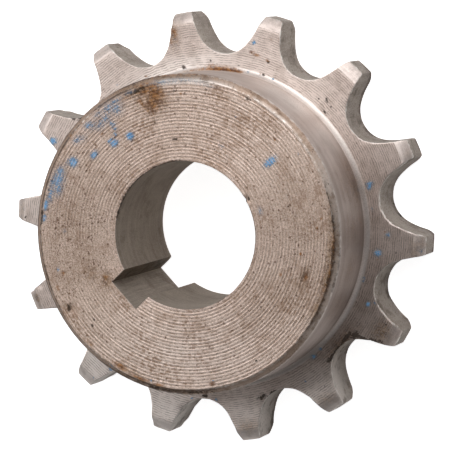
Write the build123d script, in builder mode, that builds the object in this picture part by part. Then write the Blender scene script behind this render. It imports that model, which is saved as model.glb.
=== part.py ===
"""Roller chain sprocket with a hub on one side, a plain bore and a keyway.

The plate lies flat on z = 0 with its back face down and the hub stands up
along +Z. The bore runs along Z through the origin and the keyway faces +Y.
Sizes are in millimetres and angles in degrees.
"""
import os
from math import asin, cos, degrees, radians, sin

from build123d import *

# ---- the chain that runs on it ----
pitch = 15.875                # from one roller centre to the next
roller_diameter = 10.16
roller_play = 0.038           # extra radius that lets a roller seat freely

# ---- toothed plate ----
tooth_count = 14
plate_thickness = 8.7
outside_diameter = 76.1       # across the turned tooth tips
keyway_to_tooth = 4.3         # a tooth's centreline stands this far round from the keyway
front_bevel_height = 1.95     # down the tooth, on the hub side
front_bevel_width = 1.3       # across the plate, on the hub side
back_bevel_height = 1.4
back_bevel_width = 1.9

# ---- hub ----
hub_diameter = 55.1
overall_length = 24.1         # back face of the plate to the end of the hub
hub_edge_chamfer = 0.95
hub_root_fillet = 0.7

# ---- bore and keyway ----
bore_diameter = 25.4
bore_back_chamfer = 0.8
keyway_width = 6.35
keyway_reach = 28.2           # from the keyway's floor to the opposite wall of the bore

# ---- sizes that follow from the ones above ----
outside_radius = outside_diameter / 2
hub_radius = hub_diameter / 2
bore_radius = bore_diameter / 2
keyway_floor = keyway_reach - bore_radius
half_tooth_angle = 180 / tooth_count
pitch_radius = pitch / 2 / sin(radians(half_tooth_angle))


def toward(degrees_round, length):
    """The point at a distance from the origin, turned round from +X."""
    angle = radians(degrees_round)
    return Vector(length * cos(angle), length * sin(angle))


# ---- the standard roller chain tooth form ----
# Half of one gap, drawn with its centreline on +X. It runs outward from the root:
# the roller's seat, the working curve it rolls up, a short straight flank, and
# the topping curve that rounds over to the tooth's centreline.
seat_half_angle = 55 - 60 / tooth_count
working_angle = 18 - 56 / tooth_count
topping_angle = 17 - 64 / tooth_count
seat_radius = 0.5025 * roller_diameter + roller_play
working_offset = 0.8 * roller_diameter
working_radius = seat_radius + working_offset
topping_offset = 1.4 * roller_diameter
flank_length = topping_offset * sin(radians(topping_angle)) - working_offset * sin(radians(working_angle))
topping_radius = (
    working_offset * cos(radians(working_angle))
    + topping_offset * cos(radians(topping_angle))
    - working_radius
)

roller_centre = Vector(pitch_radius, 0)
working_start = 180 - seat_half_angle
working_centre = roller_centre - toward(working_start, working_offset)
topping_centre = roller_centre + toward(90 + half_tooth_angle, topping_offset)
topping_start = working_start - working_angle - 180
topping_end = half_tooth_angle - degrees(asin((topping_offset - pitch / 2) / topping_radius))

# The cutter leaves each gap along the centrelines of its two teeth.
cutter_reach = 1.2 * max(outside_radius, pitch_radius) / cos(radians(half_tooth_angle))

with BuildSketch() as tooth_gap:
    with BuildLine():
        CenterArc(roller_centre, seat_radius, 180, -seat_half_angle)
        working_curve = CenterArc(working_centre, working_radius, working_start, -working_angle)
        flank = Line(working_curve @ 1, working_curve @ 1 + working_curve % 1 * flank_length)
        topping_curve = CenterArc(topping_centre, topping_radius, topping_start, topping_end - topping_start)
        mouth_corner = toward(half_tooth_angle, cutter_reach)
        Line(topping_curve @ 1, mouth_corner)
        Line(mouth_corner, (mouth_corner.X, 0))
        mirror(about=Plane.XZ)
    make_face()

with BuildPart() as sprocket:
    # The turned blank: the plate with its bevelled rim, the hub and the bore.
    with BuildSketch(Plane.XZ):
        with BuildLine():
            Polyline(
                (bore_radius + bore_back_chamfer, 0),
                (outside_radius - back_bevel_height, 0),
                (outside_radius, back_bevel_width),
                (outside_radius, plate_thickness - front_bevel_width),
                (outside_radius - front_bevel_height, plate_thickness),
                (hub_radius, plate_thickness),
                (hub_radius, overall_length - hub_edge_chamfer),
                (hub_radius - hub_edge_chamfer, overall_length),
                (bore_radius, overall_length),
                (bore_radius, bore_back_chamfer),
                close=True,
            )
        make_face()
    revolve(axis=Axis.Z)

    # The rounded corner where the hub meets the plate.
    hub_root = (
        sprocket.edges()
        .filter_by(GeomType.CIRCLE)
        .filter_by_position(Axis.Z, plate_thickness, plate_thickness)
        .sort_by(SortBy.RADIUS)[0]
    )
    fillet(hub_root, hub_root_fillet)

    # The gaps between the teeth, cut through the plate.
    with PolarLocations(0, tooth_count, start_angle=90 + keyway_to_tooth + half_tooth_angle):
        add(tooth_gap.sketch)
    extrude(amount=plate_thickness, mode=Mode.SUBTRACT)

    # The keyway, broached along the whole bore.
    with BuildSketch():
        Rectangle(keyway_width, keyway_floor, align=(Align.CENTER, Align.MIN))
    extrude(amount=overall_length, mode=Mode.SUBTRACT)

sprocket.part.label = "sprocket"

os.makedirs("parts", exist_ok=True)
export_step(sprocket.part, "parts/sprocket.step")
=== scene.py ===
"""Dresses a steel roller chain sprocket: a toothed plate with a turned hub, a bore and a keyway.

The whole sprocket is one closed skin. Its cross-section, a closed ring of stations from the
bore over the hub, the plate and the teeth to the back face, is carried once round the bore.
Sizes are in millimetres and angles in degrees until a mesh is written, which is in metres.
"""
import logging
import math
from collections.abc import Callable
from dataclasses import dataclass, field
from enum import Enum

import bpy
import numpy as np
from mathutils import Matrix, Vector


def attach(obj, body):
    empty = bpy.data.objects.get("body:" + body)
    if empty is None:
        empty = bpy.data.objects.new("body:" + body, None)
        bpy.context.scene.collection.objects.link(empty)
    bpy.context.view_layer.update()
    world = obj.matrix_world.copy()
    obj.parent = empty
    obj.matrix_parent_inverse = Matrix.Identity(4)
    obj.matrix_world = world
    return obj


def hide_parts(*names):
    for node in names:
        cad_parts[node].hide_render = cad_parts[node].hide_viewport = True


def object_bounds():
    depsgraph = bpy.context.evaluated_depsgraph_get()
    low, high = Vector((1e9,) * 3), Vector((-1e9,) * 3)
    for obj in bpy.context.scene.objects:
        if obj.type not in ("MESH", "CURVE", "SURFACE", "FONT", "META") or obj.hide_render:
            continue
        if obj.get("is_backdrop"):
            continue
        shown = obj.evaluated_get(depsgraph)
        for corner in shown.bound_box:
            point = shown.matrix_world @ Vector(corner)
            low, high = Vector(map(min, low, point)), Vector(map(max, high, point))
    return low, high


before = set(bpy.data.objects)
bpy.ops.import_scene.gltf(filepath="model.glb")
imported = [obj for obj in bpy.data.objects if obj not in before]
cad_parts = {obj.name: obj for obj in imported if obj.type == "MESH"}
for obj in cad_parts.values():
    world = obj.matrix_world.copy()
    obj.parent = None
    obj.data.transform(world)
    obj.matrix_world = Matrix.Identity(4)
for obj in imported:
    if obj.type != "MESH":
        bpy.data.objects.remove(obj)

log = logging.getLogger("sprocket")

MM = 0.001
# Keeps a division away from zero.
TINY = 1e-9
# Places of the skin that are nearer to each other than this count as one.
TOUCH = 0.02
# How far a step along a slope of 45 degrees goes across and down.
SLANT = math.sqrt(0.5)
# Faces that meet at a larger angle than this have a sharp edge between them.
SHARP_ANGLE = math.radians(31)
# How worn the skin is on an edge, beside it, and where two faces meet at a flat angle.
ON_EDGE, BESIDE_EDGE, FLAT_EDGE = 1.0, 0.7, 0.25
# The middle angle, half the width and the amount of something along an edge.
Span = tuple[float, float, float]
Socket = bpy.types.NodeSocket


def steel_tone(red: int, green: int, blue: int) -> tuple[float, float, float, float]:
    """Turns a tone mixed on a screen, 0 to 255, into the linear colour a shader uses.

    The formula is a screen's curve: a straight line for the darkest tones, then a power.

    Args:
        red: Red part of the tone.
        green: Green part of the tone.
        blue: Blue part of the tone.

    Returns:
        The linear colour with full opacity.
    """
    tone = np.array([red, green, blue]) / 255
    linear = np.where(tone <= 0.04045, tone / 12.92, ((tone + 0.055) / 1.055) ** 2.4)
    return (*linear.tolist(), 1.0)


class Surface(Enum):
    """The surfaces of the sprocket that were cut in different ways, one material slot each; the keyway's
    walls have a darker slot of their own for their shade.
    """

    BORE = 0
    KEYWAY = 1
    SHADED_KEYWAY_WALL = 2
    HUB_END = 3
    CHAMFER = 4
    BARREL = 5
    ROOT = 6
    PLATE = 7
    BEVEL = 8
    FLANK = 9
    BACK = 10


class Trace(Enum):
    """What use has left on the steel since it was cut, or done to it, with painted light and painted shade
    among the marks.
    """

    PAINT = "paint"
    RUST = "rust"
    GRIME = "grime"
    STAIN = "stain"
    DUST = "dust"
    PACKED = "packed"
    POLISH = "polish"


class Lay(Enum):
    """Which way the tool marks of a surface run."""

    RINGS = "rings round the bore, side by side across a face"
    BANDS = "rings round the bore, one above the other on a barrel"
    STROKES = "straight strokes along the bore"


class Tone(Enum):
    """Tones of what lies on the steel, and of painted light, as mixed on a screen."""

    PAINTED_HIGHLIGHT = (252, 243, 237)
    PACKED_DIRT = (120, 92, 68)
    DUST = (172, 150, 132)
    EARTH = (142, 108, 82)
    SPECK = (100, 71, 51)
    CRUMB = (96, 68, 50)
    STAIN_LIGHT = (150, 118, 86)
    STAIN_DARK = (90, 66, 48)
    PIT = (70, 54, 42)
    EDGE_DIRT = (78, 58, 43)
    GRIME = (56, 44, 34)
    RUST_LIGHT = (172, 118, 62)
    RUST_DARK = (108, 66, 34)
    RUST_VALLEY = (76, 46, 22)
    RUST_CORE = (88, 38, 22)
    PAINT_SMEAR = (112, 132, 152)
    PAINT_THIN = (104, 136, 166)
    PAINT_LIGHT = (124, 184, 232)
    PAINT_DARK = (82, 146, 200)


@dataclass(frozen=True)
class Mark:
    """One mark of use on the skin, at an angle, a distance from the axis and a height.

    It is as long and broad as `along` and `across` say, round the bore and away from the axis.
    """

    trace: Trace
    angle: float
    reach: float
    height: float
    along: float
    across: float
    strength: float = 1.0


@dataclass(frozen=True)
class Dent:
    """One shallow knock in the skin."""

    angle: float
    reach: float
    height: float
    size: float
    depth: float


@dataclass(frozen=True)
class Ring:
    """One closed loop of the skin, with the surface of the band that follows it."""

    points: np.ndarray
    surface: Surface
    worn: float = 0.0
    soiled: np.ndarray | float = 0.0


@dataclass(frozen=True)
class Wear:
    """How one edge of the sprocket is worn: its share of the usual width, and how unevenly."""

    seed: int
    share: float = 1.0
    waves: int = 160


@dataclass(frozen=True)
class Rows:
    """How many rings of the skin each stretch of the cross-section has."""

    bore: int = 10
    barrel: int = 12
    root: int = 6
    plate: int = 15
    front_bevel: int = 3
    back_bevel: int = 2
    back: int = 11


def round_ripple(angles: np.ndarray, waves: int, seed: int) -> np.ndarray:
    """An uneven line that closes on itself, between about -1 and 1.

    The formula is a sum of sines with whole numbers of waves round the bore, so the line meets
    itself after a turn; each has a random phase and a height that falls with its number.

    Args:
        angles: Angles round the bore, in radians.
        waves: The number of waves round the bore of the finest sine.
        seed: Seed of the phases.

    Returns:
        The line's height at each angle.
    """
    draw = np.random.default_rng(seed)
    numbers = np.unique(np.geomspace(2, waves, 24).astype(int))
    phases = draw.uniform(0, 2 * np.pi, len(numbers))
    heights = draw.uniform(0.4, 1.0, len(numbers))
    total = (heights[:, None] * np.sin(numbers[:, None] * angles + phases[:, None])).sum(0)
    return total / np.sqrt((heights**2).sum())


@dataclass
class ToothForm:
    """The outline of the plate, with the standard tooth form of its chain."""

    pitch: float = 15.875
    roller_diameter: float = 10.16
    roller_play: float = 0.038
    tooth_count: int = 14
    outside_radius: float = 38.05
    keyway_to_tooth: float = 4.3
    steps_per_tooth: int = 36
    corner_round: float = 0.3
    fine_step: float = 0.02
    straight_crowding: float = 0.02
    bend_crowding: float = 1.2
    topping_sweep: float = 40.0
    curve_points: tuple[int, ...] = (240, 160, 30, 400, 60)

    def half_gap(self) -> np.ndarray:
        """Works out half a gap between two teeth, from its root to the tooth's centreline.

        The formula lays four curves end to end, with the gap's centreline on +X: an arc of the
        roller's seat, the working arc, a straight flank that leaves it along its tangent, and
        the topping arc; the outside circle cuts them off, and is followed to the centreline.
        The angles, radii and offsets are those of the standard form.

        Returns:
            Points of the half gap, x and y.
        """
        seat_points, working_points, flank_points, topping_points, land_points = self.curve_points
        half_tooth = np.pi / self.tooth_count
        pitch_radius = self.pitch / 2 / np.sin(half_tooth)
        seat_half = np.radians(55 - 60 / self.tooth_count)
        working = np.radians(18 - 56 / self.tooth_count)
        topping = np.radians(17 - 64 / self.tooth_count)
        seat_radius = 0.5025 * self.roller_diameter + self.roller_play
        working_offset = 0.8 * self.roller_diameter
        topping_offset = 1.4 * self.roller_diameter
        working_radius = seat_radius + working_offset
        flank = topping_offset * np.sin(topping) - working_offset * np.sin(working)
        working_height, topping_height = working_offset * np.cos(working), topping_offset * np.cos(topping)
        topping_radius = working_height + topping_height - working_radius
        roller = np.array([pitch_radius, 0.0])

        def arc(centre: np.ndarray, radius: float, turns: np.ndarray) -> np.ndarray:
            """Points of an arc, from its centre, its radius and the angles on it."""
            return centre + radius * np.stack([np.cos(turns), np.sin(turns)], 1)

        start = np.pi - seat_half
        working_centre = roller - working_offset * np.array([np.cos(start), np.sin(start)])
        lean = np.pi / 2 + half_tooth
        topping_centre = roller + topping_offset * np.array([np.cos(lean), np.sin(lean)])
        seat_arc = arc(roller, seat_radius, np.linspace(np.pi, start, seat_points))
        working_turns = np.linspace(start, start - working, working_points)
        working_arc = arc(working_centre, working_radius, working_turns)
        leave = working_arc[-1] - working_arc[-2]
        leave = leave / np.linalg.norm(leave)
        flank_line = working_arc[-1] + leave * flank * np.linspace(0, 1, flank_points)[:, None]
        sweep = np.linspace(0, np.radians(self.topping_sweep), topping_points)
        topping_arc = arc(topping_centre, topping_radius, start - working - np.pi + sweep)
        curve = np.concatenate([seat_arc, working_arc[1:], flank_line[1:], topping_arc[1:]])
        reach = np.hypot(curve[:, 0], curve[:, 1])
        curve = curve[: int(np.argmax(reach > self.outside_radius))]
        last = np.arctan2(curve[-1, 1], curve[-1, 0])
        land_turns = np.linspace(last, half_tooth, land_points)[1:]
        land = arc(np.zeros(2), self.outside_radius, land_turns)
        return np.concatenate([curve, land])

    def outline(self) -> tuple[np.ndarray, np.ndarray]:
        """Lays out the whole outline, one column of the skin for each of its points.

        The formula mirrors the half gap, repeats it by turns of one tooth, rounds its corners
        with a running mean along its length, and takes points more closely on the flanks and
        corners than on the seats.

        Returns:
            The angle of each point in radians, rising through one turn, and its distance.
        """
        half = self.half_gap()
        whole = np.concatenate([half[::-1] * [1, -1], half[1:]])
        step = 2 * np.pi / self.tooth_count
        three = np.concatenate([self.turned(whole[:-1], k * step) for k in (-1, 0, 1)])
        length = np.concatenate([[0], np.cumsum(np.hypot(*np.diff(three, axis=0).T))])
        even = np.arange(0, length[-1], self.fine_step)
        fine = np.stack([np.interp(even, length, three[:, axis]) for axis in (0, 1)], 1)
        window = np.hanning(int(self.corner_round / self.fine_step) * 2 + 1)
        window /= window.sum()
        fine = np.stack([np.convolve(fine[:, axis], window, "same") for axis in (0, 1)], 1)
        angle = np.arctan2(fine[:, 1], fine[:, 0])
        inside = np.abs(angle) <= step / 2
        fine, angle = fine[inside], angle[inside]
        reach = np.hypot(fine[:, 0], fine[:, 1])
        bend = np.abs(np.gradient(np.unwrap(np.arctan2(*np.gradient(fine, axis=0).T[::-1]))))
        bend = np.convolve(bend, window, "same")
        crowd = np.cumsum(self.straight_crowding + self.bend_crowding * bend)
        numbers = np.arange(len(crowd))
        picks = np.interp(np.linspace(crowd[0], crowd[-1], self.steps_per_tooth + 1), crowd, numbers)
        gap_angle = np.interp(picks, numbers, angle)
        gap_angle[0], gap_angle[-1] = -step / 2, step / 2
        gap_reach = np.interp(picks, numbers, reach)
        first = np.radians(90 + self.keyway_to_tooth) + step / 2
        turns = first + step * np.arange(self.tooth_count)
        angles = (turns[:, None] + gap_angle[None, :-1]).ravel()
        reaches = np.tile(gap_reach[:-1], self.tooth_count)
        return angles, reaches

    @staticmethod
    def turned(points: np.ndarray, turn: float) -> np.ndarray:
        """Turns points x and y about the bore by an angle in radians."""
        cos, sin = np.cos(turn), np.sin(turn)
        return points @ np.array([[cos, sin], [-sin, cos]])


@dataclass
class Keyway:
    """The keyway that is broached along the bore, facing +Y."""

    bore_radius: float = 12.7
    width: float = 6.35
    floor: float = 15.5

    def corners(self) -> np.ndarray:
        """Finds the corners of the keyway.

        Returns:
            Angles of a mouth corner, the two floor corners and the other mouth corner, in
            radians.
        """
        floor = np.arctan2(self.width / 2, self.floor)
        mouth = np.arcsin(self.width / 2 / self.bore_radius)
        return np.pi / 2 + np.array([-mouth, -floor, floor, mouth])

    def wall(self, angles: np.ndarray) -> np.ndarray:
        """Distance of the bore's wall from the axis at each angle.

        The formula takes the nearer of the keyway's floor and its side wall, each a straight
        line, inside the keyway's mouth, and the bore's radius everywhere else.

        Args:
            angles: Angles round the bore, in radians.

        Returns:
            The distance at each angle.
        """
        off = (angles - np.pi / 2 + np.pi) % (2 * np.pi) - np.pi
        aside = np.abs(np.sin(off))
        side = self.width / 2 / np.maximum(aside, TINY)
        ahead = self.floor / np.maximum(np.cos(off), TINY)
        inside = (np.cos(off) > 0) & (aside < self.width / 2 / self.bore_radius + TINY)
        nearer = np.maximum(np.minimum(side, ahead), self.bore_radius)
        return np.where(inside, nearer, self.bore_radius)


@dataclass
class Facing:
    """The spiral groove that the facing tool left on the end of the hub."""

    pitch: float = 0.5585
    depth: float = 0.056
    swell: float = 0.35
    swell_waves: tuple[tuple[float, int], ...] = ((0.37, 2), (0.23, -3))
    lead: float = -0.05
    off_centre: float = 0.085
    off_centre_turn: float = math.radians(40.7)
    rows_per_pitch: int = 4

    def wander(self, turn: np.ndarray) -> np.ndarray:
        """How much further out the groove lies, as its centre is a little off the bore's axis."""
        return self.lead + self.off_centre * np.cos(2 * np.pi * turn - self.off_centre_turn)

    def phase(self, reach: np.ndarray, turn: np.ndarray) -> np.ndarray:
        """Place across the groove, 0 to 1 from crest to crest, at a distance and part of a turn."""
        return ((reach - self.wander(turn)) / self.pitch - turn) % 1.0

    def drop(self, reach: np.ndarray, turn: np.ndarray) -> np.ndarray:
        """Depth of the groove below its crests.

        The formula is a row of shallow round valleys with sharp crests between them: a parabola
        in the place across the groove, repeated each pitch. Two slow waves, each so many to a
        pitch and to a turn, make some turns of the groove deeper than others.

        Args:
            reach: Distance from the axis.
            turn: Part of a turn from the first column, 0 to 1.

        Returns:
            The depth at each place.
        """
        across = 2 * self.phase(reach, turn) - 1
        way, round_way = 2 * np.pi * reach / self.pitch, 2 * np.pi * turn
        waves = sum(np.sin(out * way + turns * round_way) for out, turns in self.swell_waves)
        return self.depth * (1 - across**2) * (1 + self.swell * waves / 2)


@dataclass
class SprocketSkin:
    """The sprocket's skin: its sizes, its stations and the wear and dirt along its edges."""

    teeth: ToothForm = field(default_factory=ToothForm)
    keyway: Keyway = field(default_factory=Keyway)
    facing: Facing = field(default_factory=Facing)
    rows: Rows = Rows()
    overall_length: float = 24.1
    plate_thickness: float = 8.7
    hub_radius: float = 27.55
    hub_edge_chamfer: float = 0.95
    hub_root_fillet: float = 0.8
    bore_back_chamfer: float = 0.8
    front_bevel_height: float = 1.95
    front_bevel_width: float = 1.3
    back_bevel_height: float = 1.4
    back_bevel_width: float = 1.9
    bevel_bulge: float = 0.16
    crease_reach: float = 0.04
    keyway_corner_turn: float = 0.012
    least_column_turn: float = 0.003
    edge_wear: float = 0.11
    wear_swing: float = 0.7
    wear_limits: tuple[float, float] = (0.25, 2.6)
    round_middle: float = 0.28
    lip_wear: Wear = Wear(11, 0.7)
    rim_wear: Wear = Wear(12, 1.3)
    knee_wear: Wear = Wear(13)
    front_wear: Wear = Wear(21, waves=400)
    back_wear: Wear = Wear(22, waves=400)
    chamfer_top_wear: float = 0.6
    chamfer_foot_wear: float = 0.5
    # Along the bore's far lip, the spans at 160 and 222 degrees also stand in for the shade of the bore's
    # wall: painted shade.
    lip_dirt_and_shade: tuple[Span, ...] = ((222, 48, 0.95), (160, 40, 0.6), (25, 20, 0.75), (345, 42, 0.8))
    rim_dirt: tuple[Span, ...] = (
        (212, 32, 0.8), (128, 26, 0.9), (345, 14, 0.9), (20, 24, 0.85), (60, 24, 0.75),
    )
    chamfer_dirt: tuple[Span, ...] = ((212, 26, 0.3), (128, 26, 0.6))
    knee_dirt: tuple[Span, ...] = ((60, 80, 1.0), (335, 14, 0.9), (215, 12, 0.6))
    broad_burrs: tuple[Span, ...] = ((230.8, 5.2, 1.4), (202.5, 4, 0.8), (247, 4, 0.3))
    flank_dirt: tuple[float, ...] = (0.0, 0.0, 0.1, 0.2, 0.25, 0.35, 0.5, 0.75)
    foot_dirt: float = 0.55
    foot_dirt_swing: float = 0.5
    foot_dirt_waves: int = 90
    foot_dirt_seed: int = 31

    def __post_init__(self) -> None:
        """Sets out the columns of the skin: angle, outline distance, bore distance and turn.

        The columns are those of the outline, and three more at each corner of the keyway. A
        column of the outline that would stand too near to one of these is left out.
        """
        angles, reaches = self.teeth.outline()
        whole = 2 * np.pi
        corners = self.keyway.corners()
        near = self.keyway_corner_turn
        extra = np.concatenate([corners, corners - near, corners + near])
        extra = angles[0] + (extra - angles[0]) % whole
        gap = np.abs((angles[:, None] - extra[None, :] + np.pi) % whole - np.pi).min(1)
        keep = gap > self.least_column_turn
        keep[0] = True
        ring_angle = np.concatenate([angles, [angles[0] + whole]])
        ring_reach = np.concatenate([reaches, [reaches[0]]])
        all_angles = np.concatenate([angles[keep], extra])
        order = np.argsort(all_angles)
        self.angle = np.append(all_angles[order], angles[0] + whole)
        self.outline = np.interp(self.angle, ring_angle, ring_reach)
        self.outline[-1] = self.outline[0]
        self.turn = (self.angle - self.angle[0]) / whole
        self.cos, self.sin = np.cos(self.angle), np.sin(self.angle)
        self.cos[-1], self.sin[-1] = self.cos[0], self.sin[0]
        self.bore = self.keyway.wall(self.angle)
        self.bore[-1] = self.bore[0]

    def loop(self, reach: np.ndarray | float, height: np.ndarray | float) -> np.ndarray:
        """Makes a loop of points round the bore.

        Args:
            reach: Its distance from the axis at each column, or everywhere.
            height: Its height at each column, or everywhere.

        Returns:
            The points.
        """
        reach = np.broadcast_to(reach, self.angle.shape)
        height = np.broadcast_to(height, self.angle.shape)
        return np.stack([reach * self.cos, reach * self.sin, height], 1)

    def uneven(self, wear: Wear) -> np.ndarray:
        """Width of a worn edge at each column: its usual width, made uneven but never nothing."""
        ripple = round_ripple(self.angle, wear.waves, wear.seed)
        return self.edge_wear * np.clip(1 + self.wear_swing * ripple, *self.wear_limits) * wear.share

    def along_edge(self, usual: float, spans: tuple[Span, ...]) -> np.ndarray:
        """How much of something, such as dirt or burr, there is along an edge at each column.

        The formula is the usual amount, raised by a flat-topped bell curve round the middle of
        each span.

        Args:
            usual: The amount away from the spans.
            spans: The spans.

        Returns:
            The amount at each column.
        """
        total = np.full(self.angle.shape, usual)
        for middle, half, amount in spans:
            off = (np.degrees(self.angle) - middle + 180) % 360 - 180
            total = np.maximum(total, amount * np.exp(-((off / half) ** 4)))
        return total

    def rounded(
        self, before: tuple, corner: tuple, after: tuple, surface: Surface, soiled: np.ndarray
    ) -> list[Ring]:
        """Three rings that round a corner of the cross-section.

        The formula is a quadratic curve from the ring before the corner to the one after it,
        with the corner itself as its pull, sampled at its start, middle and end.

        Args:
            before: Distance and height where the rounding starts.
            corner: Distance and height of the sharp corner.
            after: Distance and height where the rounding ends.
            surface: Surface of the rounding and of the band after it.
            soiled: How much dirt lies along it at each column.

        Returns:
            The three rings.
        """
        middle = tuple(0.25 * b + 0.5 * c + 0.25 * a for b, c, a in zip(before, corner, after))
        places = ((before, BESIDE_EDGE), (middle, ON_EDGE), (after, BESIDE_EDGE))
        return [Ring(self.loop(*place), surface, worn, soiled) for place, worn in places]

    @staticmethod
    def run(start: np.ndarray, end: np.ndarray, count: int, surface: Surface) -> list[Ring]:
        """Rings spaced evenly between two loops, which are left out.

        Args:
            start: Loop the run starts from.
            end: Loop the run ends at.
            count: How many rings lie between them.
            surface: Surface of the run.

        Returns:
            The rings.
        """
        parts = np.linspace(0, 1, count + 2)[1:-1]
        return [Ring(start + (end - start) * part, surface) for part in parts]

    def bore_rings(self) -> list[Ring]:
        """Rings from the back of the bore up its wall and over its lip.

        Returns:
            The rings.
        """
        lip = self.uneven(self.lip_wear)
        chamfer_foot = self.keyway.bore_radius + self.bore_back_chamfer
        start = self.loop(self.bore, np.maximum(chamfer_foot - self.bore, 0))
        lip_start = self.overall_length - lip
        inner = self.bore + lip
        face = self.overall_length - self.facing.drop(inner, self.turn)
        return [
            Ring(start, Surface.BORE, self.chamfer_top_wear),
            *self.run(start, self.loop(self.bore, lip_start), self.rows.bore, Surface.BORE),
            *self.rounded(
                (self.bore, lip_start),
                (self.bore, face),
                (inner, face),
                Surface.HUB_END,
                self.along_edge(0.1, self.lip_dirt_and_shade),
            ),
        ]

    def hub_end_rings(self) -> list[Ring]:
        """Rings of the hub's end, which follow the facing tool's spiral.

        Each row's distance grows by one pitch in a turn, so a row ends where the row one pitch
        further out began. Rows are held between the bore's lip and the hub's rim, where they run
        together.

        Returns:
            The rings.
        """
        inner = self.bore + self.uneven(self.lip_wear)
        rim = self.hub_radius - self.hub_edge_chamfer
        outer = rim - self.uneven(self.rim_wear)
        step = self.facing.pitch / self.facing.rows_per_pitch
        first = self.keyway.bore_radius - self.facing.pitch
        rows = np.arange(int(np.ceil((rim - first) / step)) + 2)
        lines = self.facing.wander(self.turn) + self.facing.pitch * self.turn
        reach = first + rows[:, None] * step + lines[None, :]
        reach = np.where(reach < inner + TOUCH, inner, reach)
        reach = np.where(reach > outer - TOUCH, outer, reach)
        height = self.overall_length - self.facing.drop(reach, self.turn)
        return [Ring(self.loop(*row), Surface.HUB_END) for row in zip(reach, height)]

    def hub_side_rings(self) -> list[Ring]:
        """Rings over the hub's rim, its chamfer, its barrel and the corner at its foot.

        The corner's formula is halfway between a quarter circle and a straight slope.

        Returns:
            The rings.
        """
        hub, top = self.hub_radius, self.overall_length
        rim, knee = hub - self.hub_edge_chamfer, top - self.hub_edge_chamfer
        rim_edge, knee_edge = self.uneven(self.rim_wear), self.uneven(self.knee_wear)
        outer = rim - rim_edge
        slope = rim_edge * SLANT
        rings = self.rounded(
            (outer, top - self.facing.drop(outer, self.turn)),
            (rim, top),
            (rim + slope, top - slope),
            Surface.CHAMFER,
            self.along_edge(0.15, self.rim_dirt),
        )
        slope = knee_edge * SLANT
        knee_start = (hub - slope, knee + slope)
        middle = self.run(rings[-1].points, self.loop(*knee_start), 1, Surface.CHAMFER)[0]
        chamfer_dirt = self.along_edge(0.0, self.chamfer_dirt)
        rings.append(Ring(middle.points, Surface.CHAMFER, 0.0, chamfer_dirt))
        knee_dirt = self.along_edge(0.2, self.knee_dirt)
        rings += self.rounded(knee_start, (hub, knee), (hub, knee - knee_edge), Surface.BARREL, knee_dirt)
        foot = self.plate_thickness + self.hub_root_fillet
        rings += self.run(rings[-1].points, self.loop(hub, foot), self.rows.barrel, Surface.BARREL)
        for bend in np.linspace(0, np.pi / 2, self.rows.root):
            slope = bend * 2 / np.pi
            out = 0.5 * (1 - math.cos(bend)) + 0.5 * slope
            down = 0.5 * math.sin(bend) + 0.5 * slope
            reach, height = hub + self.hub_root_fillet * out, foot - self.hub_root_fillet * down
            rings.append(Ring(self.loop(reach, height), Surface.ROOT))
        rings[-1] = Ring(rings[-1].points, Surface.PLATE)
        return rings

    def front(self, points: np.ndarray) -> np.ndarray:
        """Works out the height of the plate's front, with its slightly crowned bevel.

        The formula is a cone with a parabola on it, from where the bevel starts.

        Args:
            points: Points x and y.

        Returns:
            The height at each point.
        """
        start = self.teeth.outside_radius - self.front_bevel_height
        past = np.clip((np.hypot(*points.T) - start) / self.front_bevel_height, 0, 1)
        crown = 4 * self.bevel_bulge * past * (1 - past)
        return self.plate_thickness - past * self.front_bevel_width + crown

    def back(self, points: np.ndarray) -> np.ndarray:
        """Works out the height of the plate's back, with its bevel, a cone.

        Args:
            points: Points x and y.

        Returns:
            The height at each point.
        """
        start = self.teeth.outside_radius - self.back_bevel_height
        past = np.maximum(np.hypot(*points.T) - start, 0)
        return past * self.back_bevel_width / self.back_bevel_height

    @staticmethod
    def lifted(points: np.ndarray, height: np.ndarray) -> np.ndarray:
        """Points x and y with a height added."""
        return np.concatenate([points, height[:, None]], 1)

    def crease(self, points: np.ndarray, bevel_height: float, height: float) -> np.ndarray:
        """Finds the loop where a flat face ends: the outline, or the circle its bevel starts at.

        Args:
            points: Points x and y of the outline.
            bevel_height: How far in from the outside circle the bevel starts.
            height: Height of the face.

        Returns:
            The loop.
        """
        start = self.teeth.outside_radius - bevel_height
        reach = np.hypot(*points.T)
        held = np.where(reach > start - self.crease_reach, np.minimum(reach, start), reach)
        return self.lifted(points * (held / reach)[:, None], np.full(len(points), height))

    def edge_lines(self, wear: np.ndarray) -> list[np.ndarray]:
        """Three lines of points x and y round an edge of the teeth.

        The formula moves the outline inward along its own normal, which is square to the sum of
        the directions to the points ahead and behind.

        Args:
            wear: Width of the worn edge at each column.

        Returns:
            The outline, the line in the middle of the rounding, and the line where it ends.
        """
        outline = self.loop(self.outline, 0)[:, :2]
        ahead = np.roll(outline[:-1], -1, 0) - outline[:-1]
        behind = outline[:-1] - np.roll(outline[:-1], 1, 0)
        ahead /= np.linalg.norm(ahead, axis=1)[:, None]
        behind /= np.linalg.norm(behind, axis=1)[:, None]
        tangent = ahead + behind
        tangent /= np.linalg.norm(tangent, axis=1)[:, None]
        normal = np.stack([tangent[:, 1], -tangent[:, 0]], 1)
        normal = np.concatenate([normal, normal[:1]])
        return [outline - normal * share * wear[:, None] for share in (0.0, self.round_middle, 1.0)]

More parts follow.
